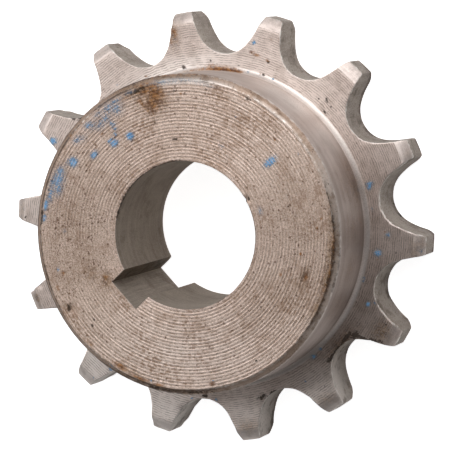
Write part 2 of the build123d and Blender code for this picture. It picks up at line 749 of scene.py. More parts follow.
    def front_rings(self) -> list[Ring]:
        """Rings from the foot of the hub over the plate and its bevel to the top of the flanks.

        Rows of the plate divide the way from the hub's foot to the outline, or to the circle
        where the bevel starts, whichever is nearer. The bevel is turned, so its height follows
        from the distance alone.

        Returns:
            The rings.
        """
        wear = self.uneven(self.front_wear) * (1 + self.along_edge(0.0, self.broad_burrs))
        outline, part, inset = self.edge_lines(wear)
        hub_foot = self.loop(self.hub_radius + self.hub_root_fillet, self.plate_thickness)
        face_end = self.crease(inset, self.front_bevel_height, self.plate_thickness)
        bevel_end = self.lifted(inset, self.front(inset))
        rings = self.run(hub_foot, face_end, self.rows.plate, Surface.PLATE)
        rings.append(Ring(face_end, Surface.BEVEL, FLAT_EDGE))
        for ring in self.run(face_end, bevel_end, self.rows.front_bevel, Surface.BEVEL):
            flat = ring.points[:, :2]
            rings.append(Ring(self.lifted(flat, self.front(flat)), Surface.BEVEL))
        middle = self.lifted(part, self.front(part) - self.round_middle * wear)
        flank_top = self.lifted(outline, self.front(outline) - wear)
        return rings + [
            Ring(bevel_end, Surface.BEVEL, BESIDE_EDGE),
            Ring(middle, Surface.FLANK, ON_EDGE),
            Ring(flank_top, Surface.FLANK, BESIDE_EDGE),
        ]

    def back_rings(self, flank_top: np.ndarray) -> list[Ring]:
        """Rings from the top of the flanks down to the back face and over it to the bore.

        Args:
            flank_top: The loop at the top of the flanks.

        Returns:
            The rings.
        """
        wear = self.uneven(self.back_wear)
        outline, part, inset = self.edge_lines(wear)
        flank_foot = self.lifted(outline, self.back(outline) + wear)
        middle = self.lifted(part, self.back(part) + self.round_middle * wear)
        bevel_end = self.lifted(inset, self.back(inset))
        back_end = self.crease(inset, self.back_bevel_height, 0.0)
        mouth = np.maximum(self.bore, self.keyway.bore_radius + self.bore_back_chamfer)
        inner = self.loop(mouth, 0.0)
        patches = round_ripple(self.angle, self.foot_dirt_waves, self.foot_dirt_seed)
        dirt = np.clip(self.foot_dirt + self.foot_dirt_swing * patches, 0, 1)
        flank = self.run(flank_top, flank_foot, len(self.flank_dirt), Surface.FLANK)
        rings = [
            Ring(ring.points, ring.surface, 0.0, share * dirt)
            for ring, share in zip(flank, self.flank_dirt)
        ]
        return rings + [
            Ring(flank_foot, Surface.FLANK, BESIDE_EDGE, dirt),
            Ring(middle, Surface.BACK, ON_EDGE, dirt),
            Ring(bevel_end, Surface.BACK, BESIDE_EDGE),
            *self.run(bevel_end, back_end, self.rows.back_bevel, Surface.BACK),
            Ring(back_end, Surface.BACK, FLAT_EDGE),
            *self.run(back_end, inner, self.rows.back, Surface.BACK),
            Ring(inner, Surface.BACK, self.chamfer_foot_wear),
        ]

    def surfaces(self, slots: np.ndarray) -> np.ndarray:
        """The material slot of each face, with the keyway's floor and walls told from the bore; the walls'
        slot is darker, painted shade.

        Args:
            slots: Material slot of each band of faces.

        Returns:
            The slots, one row for each band and one column for each step round the bore.
        """
        in_keyway = self.bore > self.keyway.bore_radius + TINY
        keyed = in_keyway[:-1] | in_keyway[1:]
        aside = np.abs((self.bore * self.cos)[:-1] + (self.bore * self.cos)[1:]) / 2
        wall = keyed & (aside > self.keyway.width / 2 - TOUCH)
        slot = np.broadcast_to(slots[:, None], (len(slots), len(keyed))).copy()
        bore = slots == Surface.BORE.value
        slot[np.ix_(bore, keyed)] = Surface.KEYWAY.value
        slot[np.ix_(bore, wall)] = Surface.SHADED_KEYWAY_WALL.value
        return slot

    def build(self, marks: list[Mark], dents: list[Dent]) -> bpy.types.Object:
        """Joins the rings into one closed mesh and marks it.

        Args:
            marks: The marks of use.
            dents: Knocks in the skin.

        Returns:
            The new object.
        """
        rings = self.bore_rings() + self.hub_end_rings() + self.hub_side_rings() + self.front_rings()
        rings += self.back_rings(rings[-1].points)
        points = np.stack([ring.points for ring in rings])
        rows, columns = points.shape[:2]
        row = np.arange(rows)[:, None]
        column = np.arange(columns - 1)[None, :]
        here, above = row * columns, (row + 1) % rows * columns
        corners = (here + column, above + column, above + column + 1, here + column + 1)
        faces = np.stack(np.broadcast_arrays(*corners), -1).reshape(-1, 4)
        slots = self.surfaces(np.array([ring.surface.value for ring in rings]))
        edges = {
            "worn": np.repeat([ring.worn for ring in rings], columns),
            "soiled": np.concatenate([np.broadcast_to(ring.soiled, columns) for ring in rings]),
        }
        mesh = self.welded(points.reshape(-1, 3), faces, slots.ravel(), edges)
        self.knock(mesh, dents)
        for trace in Trace:
            self.stain(mesh, trace, [mark for mark in marks if mark.trace is trace])
        piece = bpy.data.objects.new("sprocket_skin", mesh)
        bpy.context.scene.collection.objects.link(piece)
        return piece

    @staticmethod
    def welded(
        points: np.ndarray, faces: np.ndarray, slots: np.ndarray, edges: dict[str, np.ndarray]
    ) -> bpy.types.Mesh:
        """Makes the mesh, with points that coincide joined and faces that closed up left out.

        Points coincide when they fall into one small cell. The cells lie off the round numbers,
        so a tiny error in a round number doesn't move its point into another cell.

        Args:
            points: Every point of the grid.
            faces: Four point numbers for each face.
            slots: Material slot of each face.
            edges: Names of what marks the edges, each with its amount at every point, 0 to 1.

        Returns:
            The mesh, in metres.
        """
        cell, off_round = 1e-4, 0.37
        keys = np.floor(points / cell + off_round).astype(np.int64)
        _, first, joined = np.unique(keys, axis=0, return_index=True, return_inverse=True)
        corners = joined.ravel()[faces]
        same = corners == np.roll(corners, -1, 1)
        crossed = (corners[:, 0] == corners[:, 2]) | (corners[:, 1] == corners[:, 3])
        four = ~same.any(1) & ~crossed
        three = (same.sum(1) == 1) & ~crossed
        spare = np.argmax(same[three], 1)
        keep = (spare[:, None] + 1 + np.arange(3)) % 4
        triangles = np.take_along_axis(corners[three], keep, 1)
        mesh = bpy.data.meshes.new("sprocket_skin")
        mesh.from_pydata(points[first] * MM, [], corners[four].tolist() + triangles.tolist())
        numbers = np.concatenate([slots[four], slots[three]]).astype(np.int32)
        mesh.polygons.foreach_set("material_index", numbers)
        mesh.polygons.foreach_set("use_smooth", np.ones(len(mesh.polygons), dtype=bool))
        for name, amount in edges.items():
            layer = mesh.attributes.new(name, "FLOAT", "POINT")
            layer.data.foreach_set("value", amount[first].astype(np.float32))
        mesh.update()
        mesh.set_sharp_from_angle(angle=SHARP_ANGLE)
        return mesh

    @staticmethod
    def places(mesh: bpy.types.Mesh) -> np.ndarray:
        """Reads the points of a mesh.

        Args:
            mesh: The mesh.

        Returns:
            The points in millimetres.
        """
        flat = np.empty(len(mesh.vertices) * 3)
        mesh.vertices.foreach_get("co", flat)
        return flat.reshape(-1, 3) / MM

    @staticmethod
    def spot(places: np.ndarray, angle: float, reach: float, height: float) -> np.ndarray:
        """Offsets from one spot of the skin, turned so the first part runs round the bore.

        Args:
            places: Points of the mesh.
            angle: The spot's angle round the bore.
            reach: The spot's distance from the axis.
            height: The spot's height.

        Returns:
            Offsets round the bore, away from the axis, and up.
        """
        turn = math.radians(angle)
        out = np.array([math.cos(turn), math.sin(turn), 0])
        across = np.array([-out[1], out[0], 0])
        offset = places - (out * reach + np.array([0, 0, height]))
        return np.stack([offset @ across, offset @ out, offset[:, 2]], 1)

    def knock(self, mesh: bpy.types.Mesh, dents: list[Dent]) -> None:
        """Pushes the skin in at each dent.

        The formula sinks a point against its own normal by the dent's depth times a bell curve
        of its distance from the dent's centre over the dent's size.

        Args:
            mesh: The skin.
            dents: The dents.
        """
        places = self.places(mesh)
        normals = np.empty(len(places) * 3)
        mesh.vertex_normals.foreach_get("vector", normals)
        normals = normals.reshape(-1, 3)
        sunk = np.zeros(len(places))
        for dent in dents:
            offset = self.spot(places, dent.angle, dent.reach, dent.height)
            sunk += dent.depth * np.exp(-((offset / dent.size) ** 2).sum(1))
        places = places - normals * sunk[:, None]
        mesh.vertices.foreach_set("co", (places * MM).ravel())
        mesh.update()

    def stain(self, mesh: bpy.types.Mesh, trace: Trace, marks: list[Mark]) -> None:
        """Writes how near each point is to the marks of one trace.

        The formula is the mark's strength at its centre, half of it at its edge and nothing at
        twice its size, by the distance along and across the mark over its size there. Where marks
        overlap, the nearest one counts.

        Args:
            mesh: The skin.
            trace: The trace whose marks these are.
            marks: The marks.
        """
        places = self.places(mesh)
        near = np.zeros(len(places))
        for mark in marks:
            offset = self.spot(places, mark.angle, mark.reach, mark.height)
            size = np.array([mark.along, mark.across, mark.across])
            away = np.sqrt(((offset / size) ** 2).sum(1))
            near = np.maximum(near, mark.strength * np.clip(1 - away / 2, 0, 1))
        layer = mesh.attributes.new(trace.value, "FLOAT", "POINT")
        layer.data.foreach_set("value", near.astype(np.float32))


@dataclass
class Graph:
    """Builds a node tree: adds nodes, sets their sockets and joins them."""

    tree: bpy.types.NodeTree

    def __post_init__(self) -> None:
        """Empties the tree. A shader group's tree gets an entry for its inputs."""
        self.tree.nodes.clear()
        self.entry = self.node("NodeGroupInput").outputs if self.tree.interface.items_tree else {}

    def __getitem__(self, name: str) -> Socket:
        """One of a shader group's inputs."""
        return self.entry[name]

    def node(self, kind: str, feeds: dict | None = None, **settings: object) -> bpy.types.Node:
        """Adds a node.

        Args:
            kind: The node's type.
            feeds: What goes into its sockets: another node's socket, or a plain value.
            **settings: The node's own settings.

        Returns:
            The node.
        """
        node = self.tree.nodes.new(kind)
        for name, value in settings.items():
            setattr(node, name, value)
        for name, value in (feeds or {}).items():
            self.feed(node.inputs[name], value)
        return node

    def feed(self, socket: Socket, value: object) -> None:
        """Joins a socket to another node's, or sets it to a tone or a plain value.

        Args:
            socket: The socket.
            value: What goes into it.
        """
        if isinstance(value, Socket):
            self.tree.links.new(value, socket)
        else:
            socket.default_value = steel_tone(*value.value) if isinstance(value, Tone) else value

    def maths(self, operation: str, *terms: object) -> Socket:
        """The result of one sum on numbers that change over the surface."""
        return self.node("ShaderNodeMath", dict(enumerate(terms)), operation=operation).outputs[0]

    def plus(self, first: object, second: object) -> Socket:
        """The sum of two values."""
        return self.maths("ADD", first, second)

    def minus(self, first: object, second: object) -> Socket:
        """What is left of one value less another."""
        return self.maths("SUBTRACT", first, second)

    def times(self, first: object, second: object) -> Socket:
        """The product of two values."""
        return self.maths("MULTIPLY", first, second)

    def over(self, first: object, second: object) -> Socket:
        """One value divided by another."""
        return self.maths("DIVIDE", first, second)

    def vector(self, x: object, y: object, z: object) -> Socket:
        """A vector from its three parts."""
        return self.node("ShaderNodeCombineXYZ", {0: x, 1: y, 2: z}).outputs[0]

    def parts(self, vector: object) -> bpy.types.bpy_prop_collection:
        """The three parts of a vector."""
        return self.node("ShaderNodeSeparateXYZ", {0: vector}).outputs

    def scaled(self, vector: object, scale: object) -> Socket:
        """A vector made longer or shorter."""
        return self.node("ShaderNodeVectorMath", {0: vector, "Scale": scale}, operation="SCALE").outputs[0]

    def noise(
        self, vector: object, scale: object = 1.0, detail: float = 2.0, rough: float = 0.5
    ) -> Socket:
        """Soft noise, 0 to 1, at a vector."""
        feeds = {"Vector": vector, "Scale": scale, "Detail": detail, "Roughness": rough}
        return self.node("ShaderNodeTexNoise", feeds, noise_dimensions="3D").outputs[0]

    def step(
        self, value: object, low: object, high: object, bottom: object = 0.0, top: object = 1.0
    ) -> Socket:
        """A smooth step from bottom to top as a value goes from low to high."""
        feeds = {"Value": value, "From Min": low, "From Max": high, "To Min": bottom, "To Max": top}
        return self.node("ShaderNodeMapRange", feeds, interpolation_type="SMOOTHSTEP").outputs[0]

    def tint(self, factor: object, first: object, second: object) -> Socket:
        """A colour between two others."""
        return self.node("ShaderNodeMix", {0: factor, 6: first, 7: second}, data_type="RGBA").outputs[2]

    def attribute(self, name: str) -> Socket:
        """What an attribute of the mesh says at the place."""
        return self.node("ShaderNodeAttribute", attribute_name=name).outputs["Fac"]

    def place(self) -> Socket:
        """The place on the object, in metres."""
        return self.node("ShaderNodeTexCoord").outputs["Object"]

    def millimetres(self) -> Socket:
        """The place on the object, in millimetres."""
        return self.scaled(self.place(), 1 / MM)

    def shifted(self, shift: object) -> Socket:
        """The place on the object in millimetres, moved so that a noise there differs."""
        feeds = {0: self.millimetres(), 1: shift}
        return self.node("ShaderNodeVectorMath", feeds, operation="ADD").outputs[0]


class Effects:
    """The shader groups that the finishes share. Each is built once."""

    def __init__(self) -> None:
        """Builds every group."""
        self.place = self.group("place_on_sprocket", self.build_place, ["Reach", "Height", "Ahead"])
        self.tool_lines = self.group(
            "tool_lines", self.build_tool_lines, ["Lines", "Fine"],
            Across=0.0, Along=(0.0, 0.0, 0.0), Pitch=0.5, Streak=1.0,
        )
        self.wavy_rings = self.group(
            "wavy_rings", self.build_wavy_rings, ["Furrow"], Across=0.0, Pitch=0.4
        )
        self.facing_groove = self.group(
            "facing_groove", self.build_facing_groove, ["Crest", "Valley"], Reach=0.0, Start=0.0
        )
        self.mottle = self.group(
            "mottle", self.build_mottle, ["Cloud", "Patches", "Grain", "Dashes"], Size=4.0, Shift=0.0
        )
        self.pits = self.group("pits", self.build_pits, ["Mask"], Size=0.4, Share=0.35, Shift=0.0)
        self.flecks = self.group(
            "flecks", self.build_flecks, ["Mask"], Spacing=0.5, Share=0.4, Girth=0.3, Shift=0.0
        )
        self.spots = self.group(
            "ragged_spots", self.build_spots, ["Mask"], Nearness=0.0, Ragged=0.3, Grain=0.5, Soft=0.05
        )
        self.worn_edge = self.group("worn_edge", self.build_worn_edge, ["Mask"], Amount=1.0, Grain=0.8)
        self.dirty_edge = self.group("dirty_edge", self.build_dirty_edge, ["Mask"], Amount=1.0, Grain=0.7)

    @staticmethod
    def group(name: str, build: Callable, outputs: list[str], **inputs: object) -> bpy.types.NodeTree:
        """Makes a shader group with named inputs and outputs.

        Args:
            name: The group's name.
            build: Fills the group: takes its graph and returns what it puts out.
            outputs: Names of the outputs.
            **inputs: The inputs with their usual values.

        Returns:
            The group.
        """
        tree = bpy.data.node_groups.new(name, "ShaderNodeTree")
        for label, usual in inputs.items():
            kind = "NodeSocketVector" if isinstance(usual, tuple) else "NodeSocketFloat"
            socket = tree.interface.new_socket(label, in_out="INPUT", socket_type=kind)
            socket.default_value = usual
        for label in outputs:
            kind = "NodeSocketVector" if label == "Ahead" else "NodeSocketFloat"
            tree.interface.new_socket(label, in_out="OUTPUT", socket_type=kind)
        graph = Graph(tree)
        graph.node("NodeGroupOutput", dict(zip(outputs, build(graph))))
        return tree

    @staticmethod
    def build_place(graph: Graph) -> list:
        """Distance from the axis, height, and the direction from the axis as a unit vector.

        Args:
            graph: Its nodes and inputs.

        Returns:
            Its outputs.
        """
        parts = graph.parts(graph.millimetres())
        flat = graph.vector(parts[0], parts[1], 0.0)
        reach = graph.node("ShaderNodeVectorMath", {0: flat}, operation="LENGTH").outputs["Value"]
        ahead = graph.node("ShaderNodeVectorMath", {0: flat}, operation="NORMALIZE").outputs[0]
        return [reach, parts[2], ahead]

    @staticmethod
    def build_tool_lines(graph: Graph) -> list:
        """Uneven lines side by side: noise stretched far along the lines and squeezed across them.

        Args:
            graph: Its nodes and inputs.

        Returns:
            Its outputs.
        """
        across = graph.over(graph["Across"], graph["Pitch"])
        parts = graph.parts(graph.scaled(graph["Along"], graph["Streak"]))
        broad = graph.noise(graph.vector(across, parts[0], parts[1]), 1.0, 2.0, 0.6)
        thin = graph.noise(graph.vector(graph.times(across, 3.7), parts[0], parts[1]), 1.0, 1.0)
        return [graph.step(broad, 0.32, 0.68), graph.step(thin, 0.3, 0.7)]

    @staticmethod
    def build_wavy_rings(graph: Graph) -> list:
        """Narrow furrows one pitch apart, pushed to and fro a little by noise and broken up.

        Args:
            graph: Its nodes and inputs.

        Returns:
            Its outputs.
        """
        place = graph.millimetres()
        slow = graph.noise(place, 0.5, 2.0, 0.6)
        quick = graph.noise(place, 1.7, 1.0, 0.5)
        sway = graph.plus(graph.times(slow, 1.4), graph.times(quick, 0.5))
        phase = graph.plus(graph.over(graph["Across"], graph["Pitch"]), sway)
        wave = graph.maths("SINE", graph.times(phase, 2 * math.pi))
        broken = graph.step(graph.noise(place, 0.9, 3.0, 0.6), 0.36, 0.6, 0.15, 1.0)
        return [graph.times(graph.step(wave, 0.0, 0.9), broken)]

    @staticmethod
    def build_facing_groove(graph: Graph) -> list:
        """Crests and valleys of the facing tool's spiral, from the distance and the angle.

        Args:
            graph: Its nodes and inputs.

        Returns:
            Its outputs.
        """
        facing = Facing()
        parts = graph.parts(graph.place())
        since = graph.minus(graph.maths("ARCTAN2", parts[1], parts[0]), graph["Start"])
        swing = graph.maths("COSINE", graph.minus(since, facing.off_centre_turn))
        wander = graph.plus(graph.times(swing, facing.off_centre), facing.lead)
        across = graph.over(graph.minus(graph["Reach"], wander), facing.pitch)
        turn = graph.over(since, 2 * math.pi)
        phase = graph.maths("FLOORED_MODULO", graph.minus(across, turn), 1.0)
        middle = graph.maths("ABSOLUTE", graph.minus(phase, 0.5))
        return [graph.step(middle, 0.26, 0.5), graph.step(middle, 0.27, 0.04)]

    @staticmethod
    def build_mottle(graph: Graph) -> list:
        """Slow changes of tone, patches with firmer borders, a fine grain, and short dashes.

        Args:
            graph: Its nodes and inputs.

        Returns:
            Its outputs.
        """
        moved = graph.shifted(graph["Shift"])
        scale = graph.over(1.0, graph["Size"])
        return [
            graph.step(graph.noise(moved, scale, 3.0, 0.55), 0.3, 0.7),
            graph.step(graph.noise(moved, graph.times(scale, 2.3), 4.0, 0.65), 0.5, 0.68),
            graph.step(graph.noise(moved, 4.6, 2.0, 0.6), 0.28, 0.72),
            graph.step(graph.noise(moved, 1.5, 2.0, 0.7), 0.42, 0.6),
        ]

    @staticmethod
    def build_pits(graph: Graph) -> list:
        """Small dark pits: the tops of a fine noise, where a coarser one lets them through.

        Args:
            graph: Its nodes and inputs.

        Returns:
            Its outputs.
        """
        moved = graph.shifted(graph["Shift"])
        fine = graph.noise(moved, graph.over(1.0, graph["Size"]), 2.0, 0.6)
        coarse = graph.noise(moved, graph.over(0.12, graph["Size"]), 2.0, 0.5)
        sparse = graph.step(coarse, 0.35, 0.62, 0.1, 0.0)
        low = graph.plus(graph.minus(0.84, graph["Share"]), sparse)
        return [graph.step(fine, low, graph.plus(low, 0.05))]

    @staticmethod
    def build_flecks(graph: Graph) -> list:
        """Small separate flecks, one round a random point of some of the cells of a random grid.

        Args:
            graph: Its nodes and inputs.

        Returns:
            Its outputs.
        """
        moved = graph.shifted(graph["Shift"])
        scale = graph.over(1.0, graph["Spacing"])
        cells = graph.node("ShaderNodeTexVoronoi", {"Vector": moved, "Scale": scale}, feature="F1").outputs
        rough = graph.noise(moved, graph.times(scale, 3.0), 2.0, 0.6)
        away = graph.plus(cells["Distance"], graph.times(graph.minus(rough, 0.5), 0.5))
        chance = graph.node("ShaderNodeSeparateColor", {0: cells["Color"]}).outputs[0]
        inside = graph.step(away, graph["Girth"], graph.times(graph["Girth"], 0.6))
        return [graph.times(inside, graph.maths("LESS_THAN", chance, graph["Share"]))]

    @staticmethod
    def build_spots(graph: Graph) -> list:
        """Marks with ragged borders: the nearness to a mark, roughened by noise, cut at a half.

        Args:
            graph: Its nodes and inputs.

        Returns:
            Its outputs.
        """
        grain = graph.noise(graph.millimetres(), graph.over(1.0, graph["Grain"]), 3.0, 0.65)
        rough = graph.times(graph.minus(grain, 0.5), graph["Ragged"])
        value = graph.plus(graph["Nearness"], graph.times(rough, 2.0))
        mask = graph.step(value, graph.minus(0.5, graph["Soft"]), graph.plus(0.5, graph["Soft"]))
        return [graph.times(mask, graph.step(graph["Nearness"], 0.05, 0.25))]

    @staticmethod
    def build_worn_edge(graph: Graph) -> list:
        """Where an edge has been rubbed bright, broken up by noise.

        Args:
            graph: Its nodes and inputs.

        Returns:
            Its outputs.
        """
        grain = graph.noise(graph.millimetres(), graph.over(1.0, graph["Grain"]), 3.0, 0.6)
        worn = graph.step(graph.attribute("worn"), 0.3, 1.0)
        return [graph.times(graph.times(worn, graph.step(grain, 0.42, 0.62)), graph["Amount"])]

    @staticmethod
    def build_dirty_edge(graph: Graph) -> list:
        """Where dirt has gathered along an edge, made uneven by noise.

        Args:
            graph: Its nodes and inputs.

        Returns:
            Its outputs.
        """
        soiled = graph.attribute("soiled")
        grain = graph.noise(graph.millimetres(), graph.over(1.0, graph["Grain"]), 3.0, 0.6)
        rough = graph.times(graph.minus(grain, 0.5), 1.1)
        lying = graph.step(graph.plus(soiled, rough), 0.35, 0.85)
        return [graph.times(graph.times(lying, graph.step(soiled, 0.1, 0.5)), graph["Amount"])]


@dataclass(frozen=True)
class SteelFinish:
    """One way that the sprocket's steel is finished: its tones, tool marks, dirt and gloss."""

    surface: Surface
    light: tuple
    dark: tuple
    lay: Lay
    line_pitch: float = 0.5
    line_streak: float = 1.0
    line_strength: float = 0.3
    line_depth: float = 0.006
    grain_strength: float = 0.5
    cloud_strength: float = 0.3
    ring_pitch: float = 0.0
    ring_strength: float = 0.0
    ring_tone: tuple = steel_tone(120, 104, 94)
    stain: tuple = steel_tone(124, 102, 84)
    stain_amount: float = 0.3
    pit_share: float = 0.14
    pit_amount: float = 0.6
    roughness: float = 0.45
    metallic: float = 0.75
    stretch: float = 0.0
    edge_and_highlight_tone: tuple = steel_tone(230, 222, 216)
    edge_amount: float = 0.6
    grooved: bool = False

    def build(self, effects: Effects) -> bpy.types.Material:
        """Builds the material.

        Args:
            effects: The shared shader groups.

        Returns:
            The material.
        """
        material = bpy.data.materials.new(f"steel_{self.surface.name.lower()}")
        material.use_nodes = True
        SteelShader(self, effects, Graph(material.node_tree)).build()
        return material


@dataclass
class SteelShader:
    """The nodes of one finish, coat by coat: cut steel first, then dirt, rust and paint on it.

    Every coat tints the colour so far. Coats that stand proud or lie deep change the relief, and
    those that hide the metal are kept, to make it duller and less metallic there.
    """

    finish: SteelFinish
    effects: Effects
    graph: Graph

    def __post_init__(self) -> None:
        """Finds the place on the sprocket and the mottled pattern that most coats need."""
        self.number = float(self.finish.surface.value)
        self.place = self.use(self.effects.place)
        self.mottle = self.use(self.effects.mottle, Size=7.0, Shift=self.number * 13.7)

    def use(self, tree: bpy.types.NodeTree, **feeds: object) -> bpy.types.bpy_prop_collection:
        """Places a shared group and returns its outputs."""
        return self.graph.node("ShaderNodeGroup", feeds, node_tree=tree).outputs

    def near(self, trace: Trace) -> Socket:
        """The nearness to the marks of a trace."""
        return self.graph.attribute(trace.value)

    def cover(self, amount: object, tone: object, share: float = 1.0) -> None:
        """Tints the colour so far by an amount, or a share of it."""
        factor = self.graph.times(amount, share) if share < 1 else amount
        self.colour = self.graph.tint(factor, self.colour, tone)

    def between(self, light: Tone, dark: Tone) -> Socket:
        """A tone that changes from light to dark in short dashes."""
        return self.graph.tint(self.mottle["Dashes"], light, dark)

    def directions(self) -> tuple[object, object]:
        """Finds the ways across and along the tool marks.

        Returns:
            The place across the marks and the place along them.
        """
        graph, place = self.graph, self.place
        if self.finish.lay is Lay.RINGS:
            return place["Reach"], place["Ahead"]
        if self.finish.lay is Lay.BANDS:
            return place["Height"], place["Ahead"]
        parts = graph.parts(place["Ahead"])
        round_way = graph.times(graph.maths("ARCTAN2", parts[1], parts[0]), 30.0)
        along = graph.vector(graph.times(place["Height"], 0.1), 0.0, 0.0)
        return graph.plus(round_way, place["Reach"]), along

    def cut_steel(self) -> None:
        """Bare steel: tool lines, clouds and grain between two tones, painted light and furrows."""
        graph, finish = self.graph, self.finish
        across, along = self.directions()
        way = {"Across": across, "Along": along, "Pitch": finish.line_pitch, "Streak": finish.line_streak}
        self.lines = self.use(self.effects.tool_lines, **way)
        cloud = graph.times(self.mottle["Cloud"], finish.cloud_strength)
        grain = graph.times(self.mottle["Grain"], finish.grain_strength)
        tone = graph.plus(graph.times(self.lines["Lines"], finish.line_strength), graph.plus(cloud, grain))
        whole = finish.line_strength + finish.cloud_strength + finish.grain_strength
        self.colour = graph.tint(graph.step(tone, 0.0, whole), finish.light, finish.dark)
        uneven = graph.step(self.mottle["Grain"], 0.0, 0.6, 0.4, 1.0)
        # Painted light: a lighter tone where sheen, reflections and highlights would fall.
        self.cover(graph.times(self.near(Trace.POLISH), uneven), Tone.PAINTED_HIGHLIGHT)
        self.relief = graph.plus(self.lines["Lines"], graph.times(self.lines["Fine"], 0.5))
        if finish.ring_strength:
            furrow = self.use(self.effects.wavy_rings, Across=across, Pitch=finish.ring_pitch)["Furrow"]
            self.cover(furrow, finish.ring_tone, finish.ring_strength)
            self.relief = graph.minus(self.relief, graph.times(furrow, 1.5))

    def facing(self) -> None:
        """The facing tool's groove: packed dirt in it, a painted highlight on its crests, dust and painted
        shade, earth and specks on it.
        """
        graph, mottle, dust = self.graph, self.mottle, self.near(Trace.DUST)
        groove = self.use(self.effects.facing_groove, Reach=self.place["Reach"], Start=FIRST_COLUMN)
        self.valley = groove["Valley"]
        clear = graph.step(dust, 0.1, 0.7, 1.0, 0.4)
        share = graph.step(self.near(Trace.PACKED), 0.1, 0.7, 0.3, 0.7)
        uneven = graph.step(mottle["Dashes"], 0.0, 1.0, 0.1, 1.0)
        packed = graph.times(graph.times(self.valley, share), uneven)
        self.cover(graph.times(packed, clear), Tone.PACKED_DIRT)
        # Lighter crests: painted highlight.
        crest_highlight = graph.times(groove["Crest"], graph.step(self.lines["Fine"], 0.3, 1.0, 0.0, 0.5))
        self.cover(graph.times(crest_highlight, clear), self.finish.edge_and_highlight_tone)
        # Dust, and painted shade where the end catches less light.
        self.cover(graph.times(dust, graph.step(mottle["Grain"], 0.0, 1.0, 0.2, 0.8)), Tone.DUST)
        earthy = graph.times(graph.step(mottle["Cloud"], 0.35, 0.9), graph.step(mottle["Dashes"], 0.2, 1.0))
        self.cover(graph.times(earthy, clear), Tone.EARTH, 0.5)
        share = graph.step(dust, 0.1, 0.8, 0.2, 0.28)
        specks = self.use(self.effects.pits, Size=0.27, Share=share, Shift=3.0)
        self.cover(specks["Mask"], Tone.SPECK, 0.8)
        share = graph.step(dust, 0.1, 0.8, 0.14, 0.34)
        crumbs = self.use(self.effects.flecks, Spacing=0.66, Share=share, Girth=0.33, Shift=7.0)
        self.cover(crumbs["Mask"], Tone.CRUMB, 0.75)

    def stains_and_pits(self) -> None:
        """Stained patches and marks, some of the marks painted shade, and small dark pits."""
        graph, finish = self.graph, self.finish
        self.stained = graph.times(self.mottle["Patches"], finish.stain_amount)
        self.cover(self.stained, finish.stain)
        marked = graph.step(self.near(Trace.STAIN), 0.08, 0.65)
        stain_and_shade_cover = graph.times(marked, graph.step(self.mottle["Grain"], 0.0, 1.0, 0.55, 1.0))
        self.cover(stain_and_shade_cover, self.between(Tone.STAIN_LIGHT, Tone.STAIN_DARK), 0.9)
        pits = self.use(self.effects.pits, Size=0.42, Share=finish.pit_share, Shift=self.number)
        self.pits = pits["Mask"]
        self.cover(self.pits, Tone.PIT, finish.pit_amount)

    def edges(self) -> None:
        """Edges rubbed bright, and dirt along them; the near-white flank edges are also a painted
        highlight.
        """
        self.rubbed = self.use(self.effects.worn_edge, Amount=self.finish.edge_amount)["Mask"]
        self.cover(self.rubbed, self.finish.edge_and_highlight_tone)
        # Dirt along edges; on the bore's far lip it is also painted shade.
        self.soiled = self.use(self.effects.dirty_edge, Amount=0.85)["Mask"]
        self.cover(self.soiled, Tone.EDGE_DIRT)

    def grime_and_rust(self) -> None:
        """Dark grime, and rust that is redder in the middle of a mark and darker in the groove."""
        graph, near_rust = self.graph, self.near(Trace.RUST)
        grime = self.use(
            self.effects.spots, Nearness=self.near(Trace.GRIME), Ragged=0.42, Grain=0.55, Soft=0.1
        )
        self.grime = grime["Mask"]
        self.cover(self.grime, Tone.GRIME, 0.85)
        rust = self.use(self.effects.spots, Nearness=near_rust, Ragged=0.36, Grain=0.42, Soft=0.28)
        self.rust = rust["Mask"]
        tone = self.between(Tone.RUST_LIGHT, Tone.RUST_DARK)
        if self.finish.grooved:
            tone = graph.tint(graph.times(self.valley, 0.6), tone, Tone.RUST_VALLEY)
        core = graph.step(near_rust, 0.74, 0.94, 0.0, 0.95)
        self.cover(self.rust, graph.tint(core, tone, Tone.RUST_CORE), 0.9)

    def paint(self) -> None:
        """Blue paint: a thin smear round each fleck, and the fleck itself, thin at its border."""
        graph, grain, near_paint = self.graph, self.mottle["Grain"], self.near(Trace.PAINT)
        smeared = graph.times(graph.step(near_paint, 0.12, 0.5), graph.step(grain, 0.2, 0.8))
        self.cover(smeared, Tone.PAINT_SMEAR, 0.55)
        fleck = self.use(self.effects.spots, Nearness=near_paint, Ragged=0.36, Grain=0.36, Soft=0.12)
        self.flaked = graph.times(fleck["Mask"], graph.step(grain, 0.05, 0.5, 0.4, 0.95))
        if self.finish.grooved:
            self.flaked = graph.times(self.flaked, graph.step(self.valley, 0.0, 1.0, 1.0, 0.55))
        tone = self.between(Tone.PAINT_LIGHT, Tone.PAINT_DARK)
        thick = graph.step(near_paint, 0.45, 0.8)
        self.cover(self.flaked, graph.tint(thick, Tone.PAINT_THIN, tone))

    def matte(self) -> Socket:
        """Makes the steel duller on grime, rust and stains and glossier on rubbed edges.

        Returns:
            The roughness.
        """
        graph = self.graph
        dull = graph.times(graph.maths("MAXIMUM", self.grime, self.rust), 0.3)
        matte = graph.plus(dull, self.finish.roughness)
        matte = graph.plus(matte, graph.times(self.lines["Fine"], 0.08))
        matte = graph.plus(matte, graph.times(self.stained, 0.2))
        return graph.minus(matte, graph.times(self.rubbed, 0.2))

    def bare(self) -> Socket:
        """Makes the steel less metallic where something lies on it.

        Returns:
            The share of bare metal.
        """
        graph = self.graph
        covered = self.flaked
        for coat, share in ((self.rust, 0.8), (self.grime, 0.6), (self.soiled, 0.5)):
            covered = graph.maths("MAXIMUM", covered, graph.times(coat, share))
        return graph.times(graph.minus(1.0, covered), self.finish.metallic)

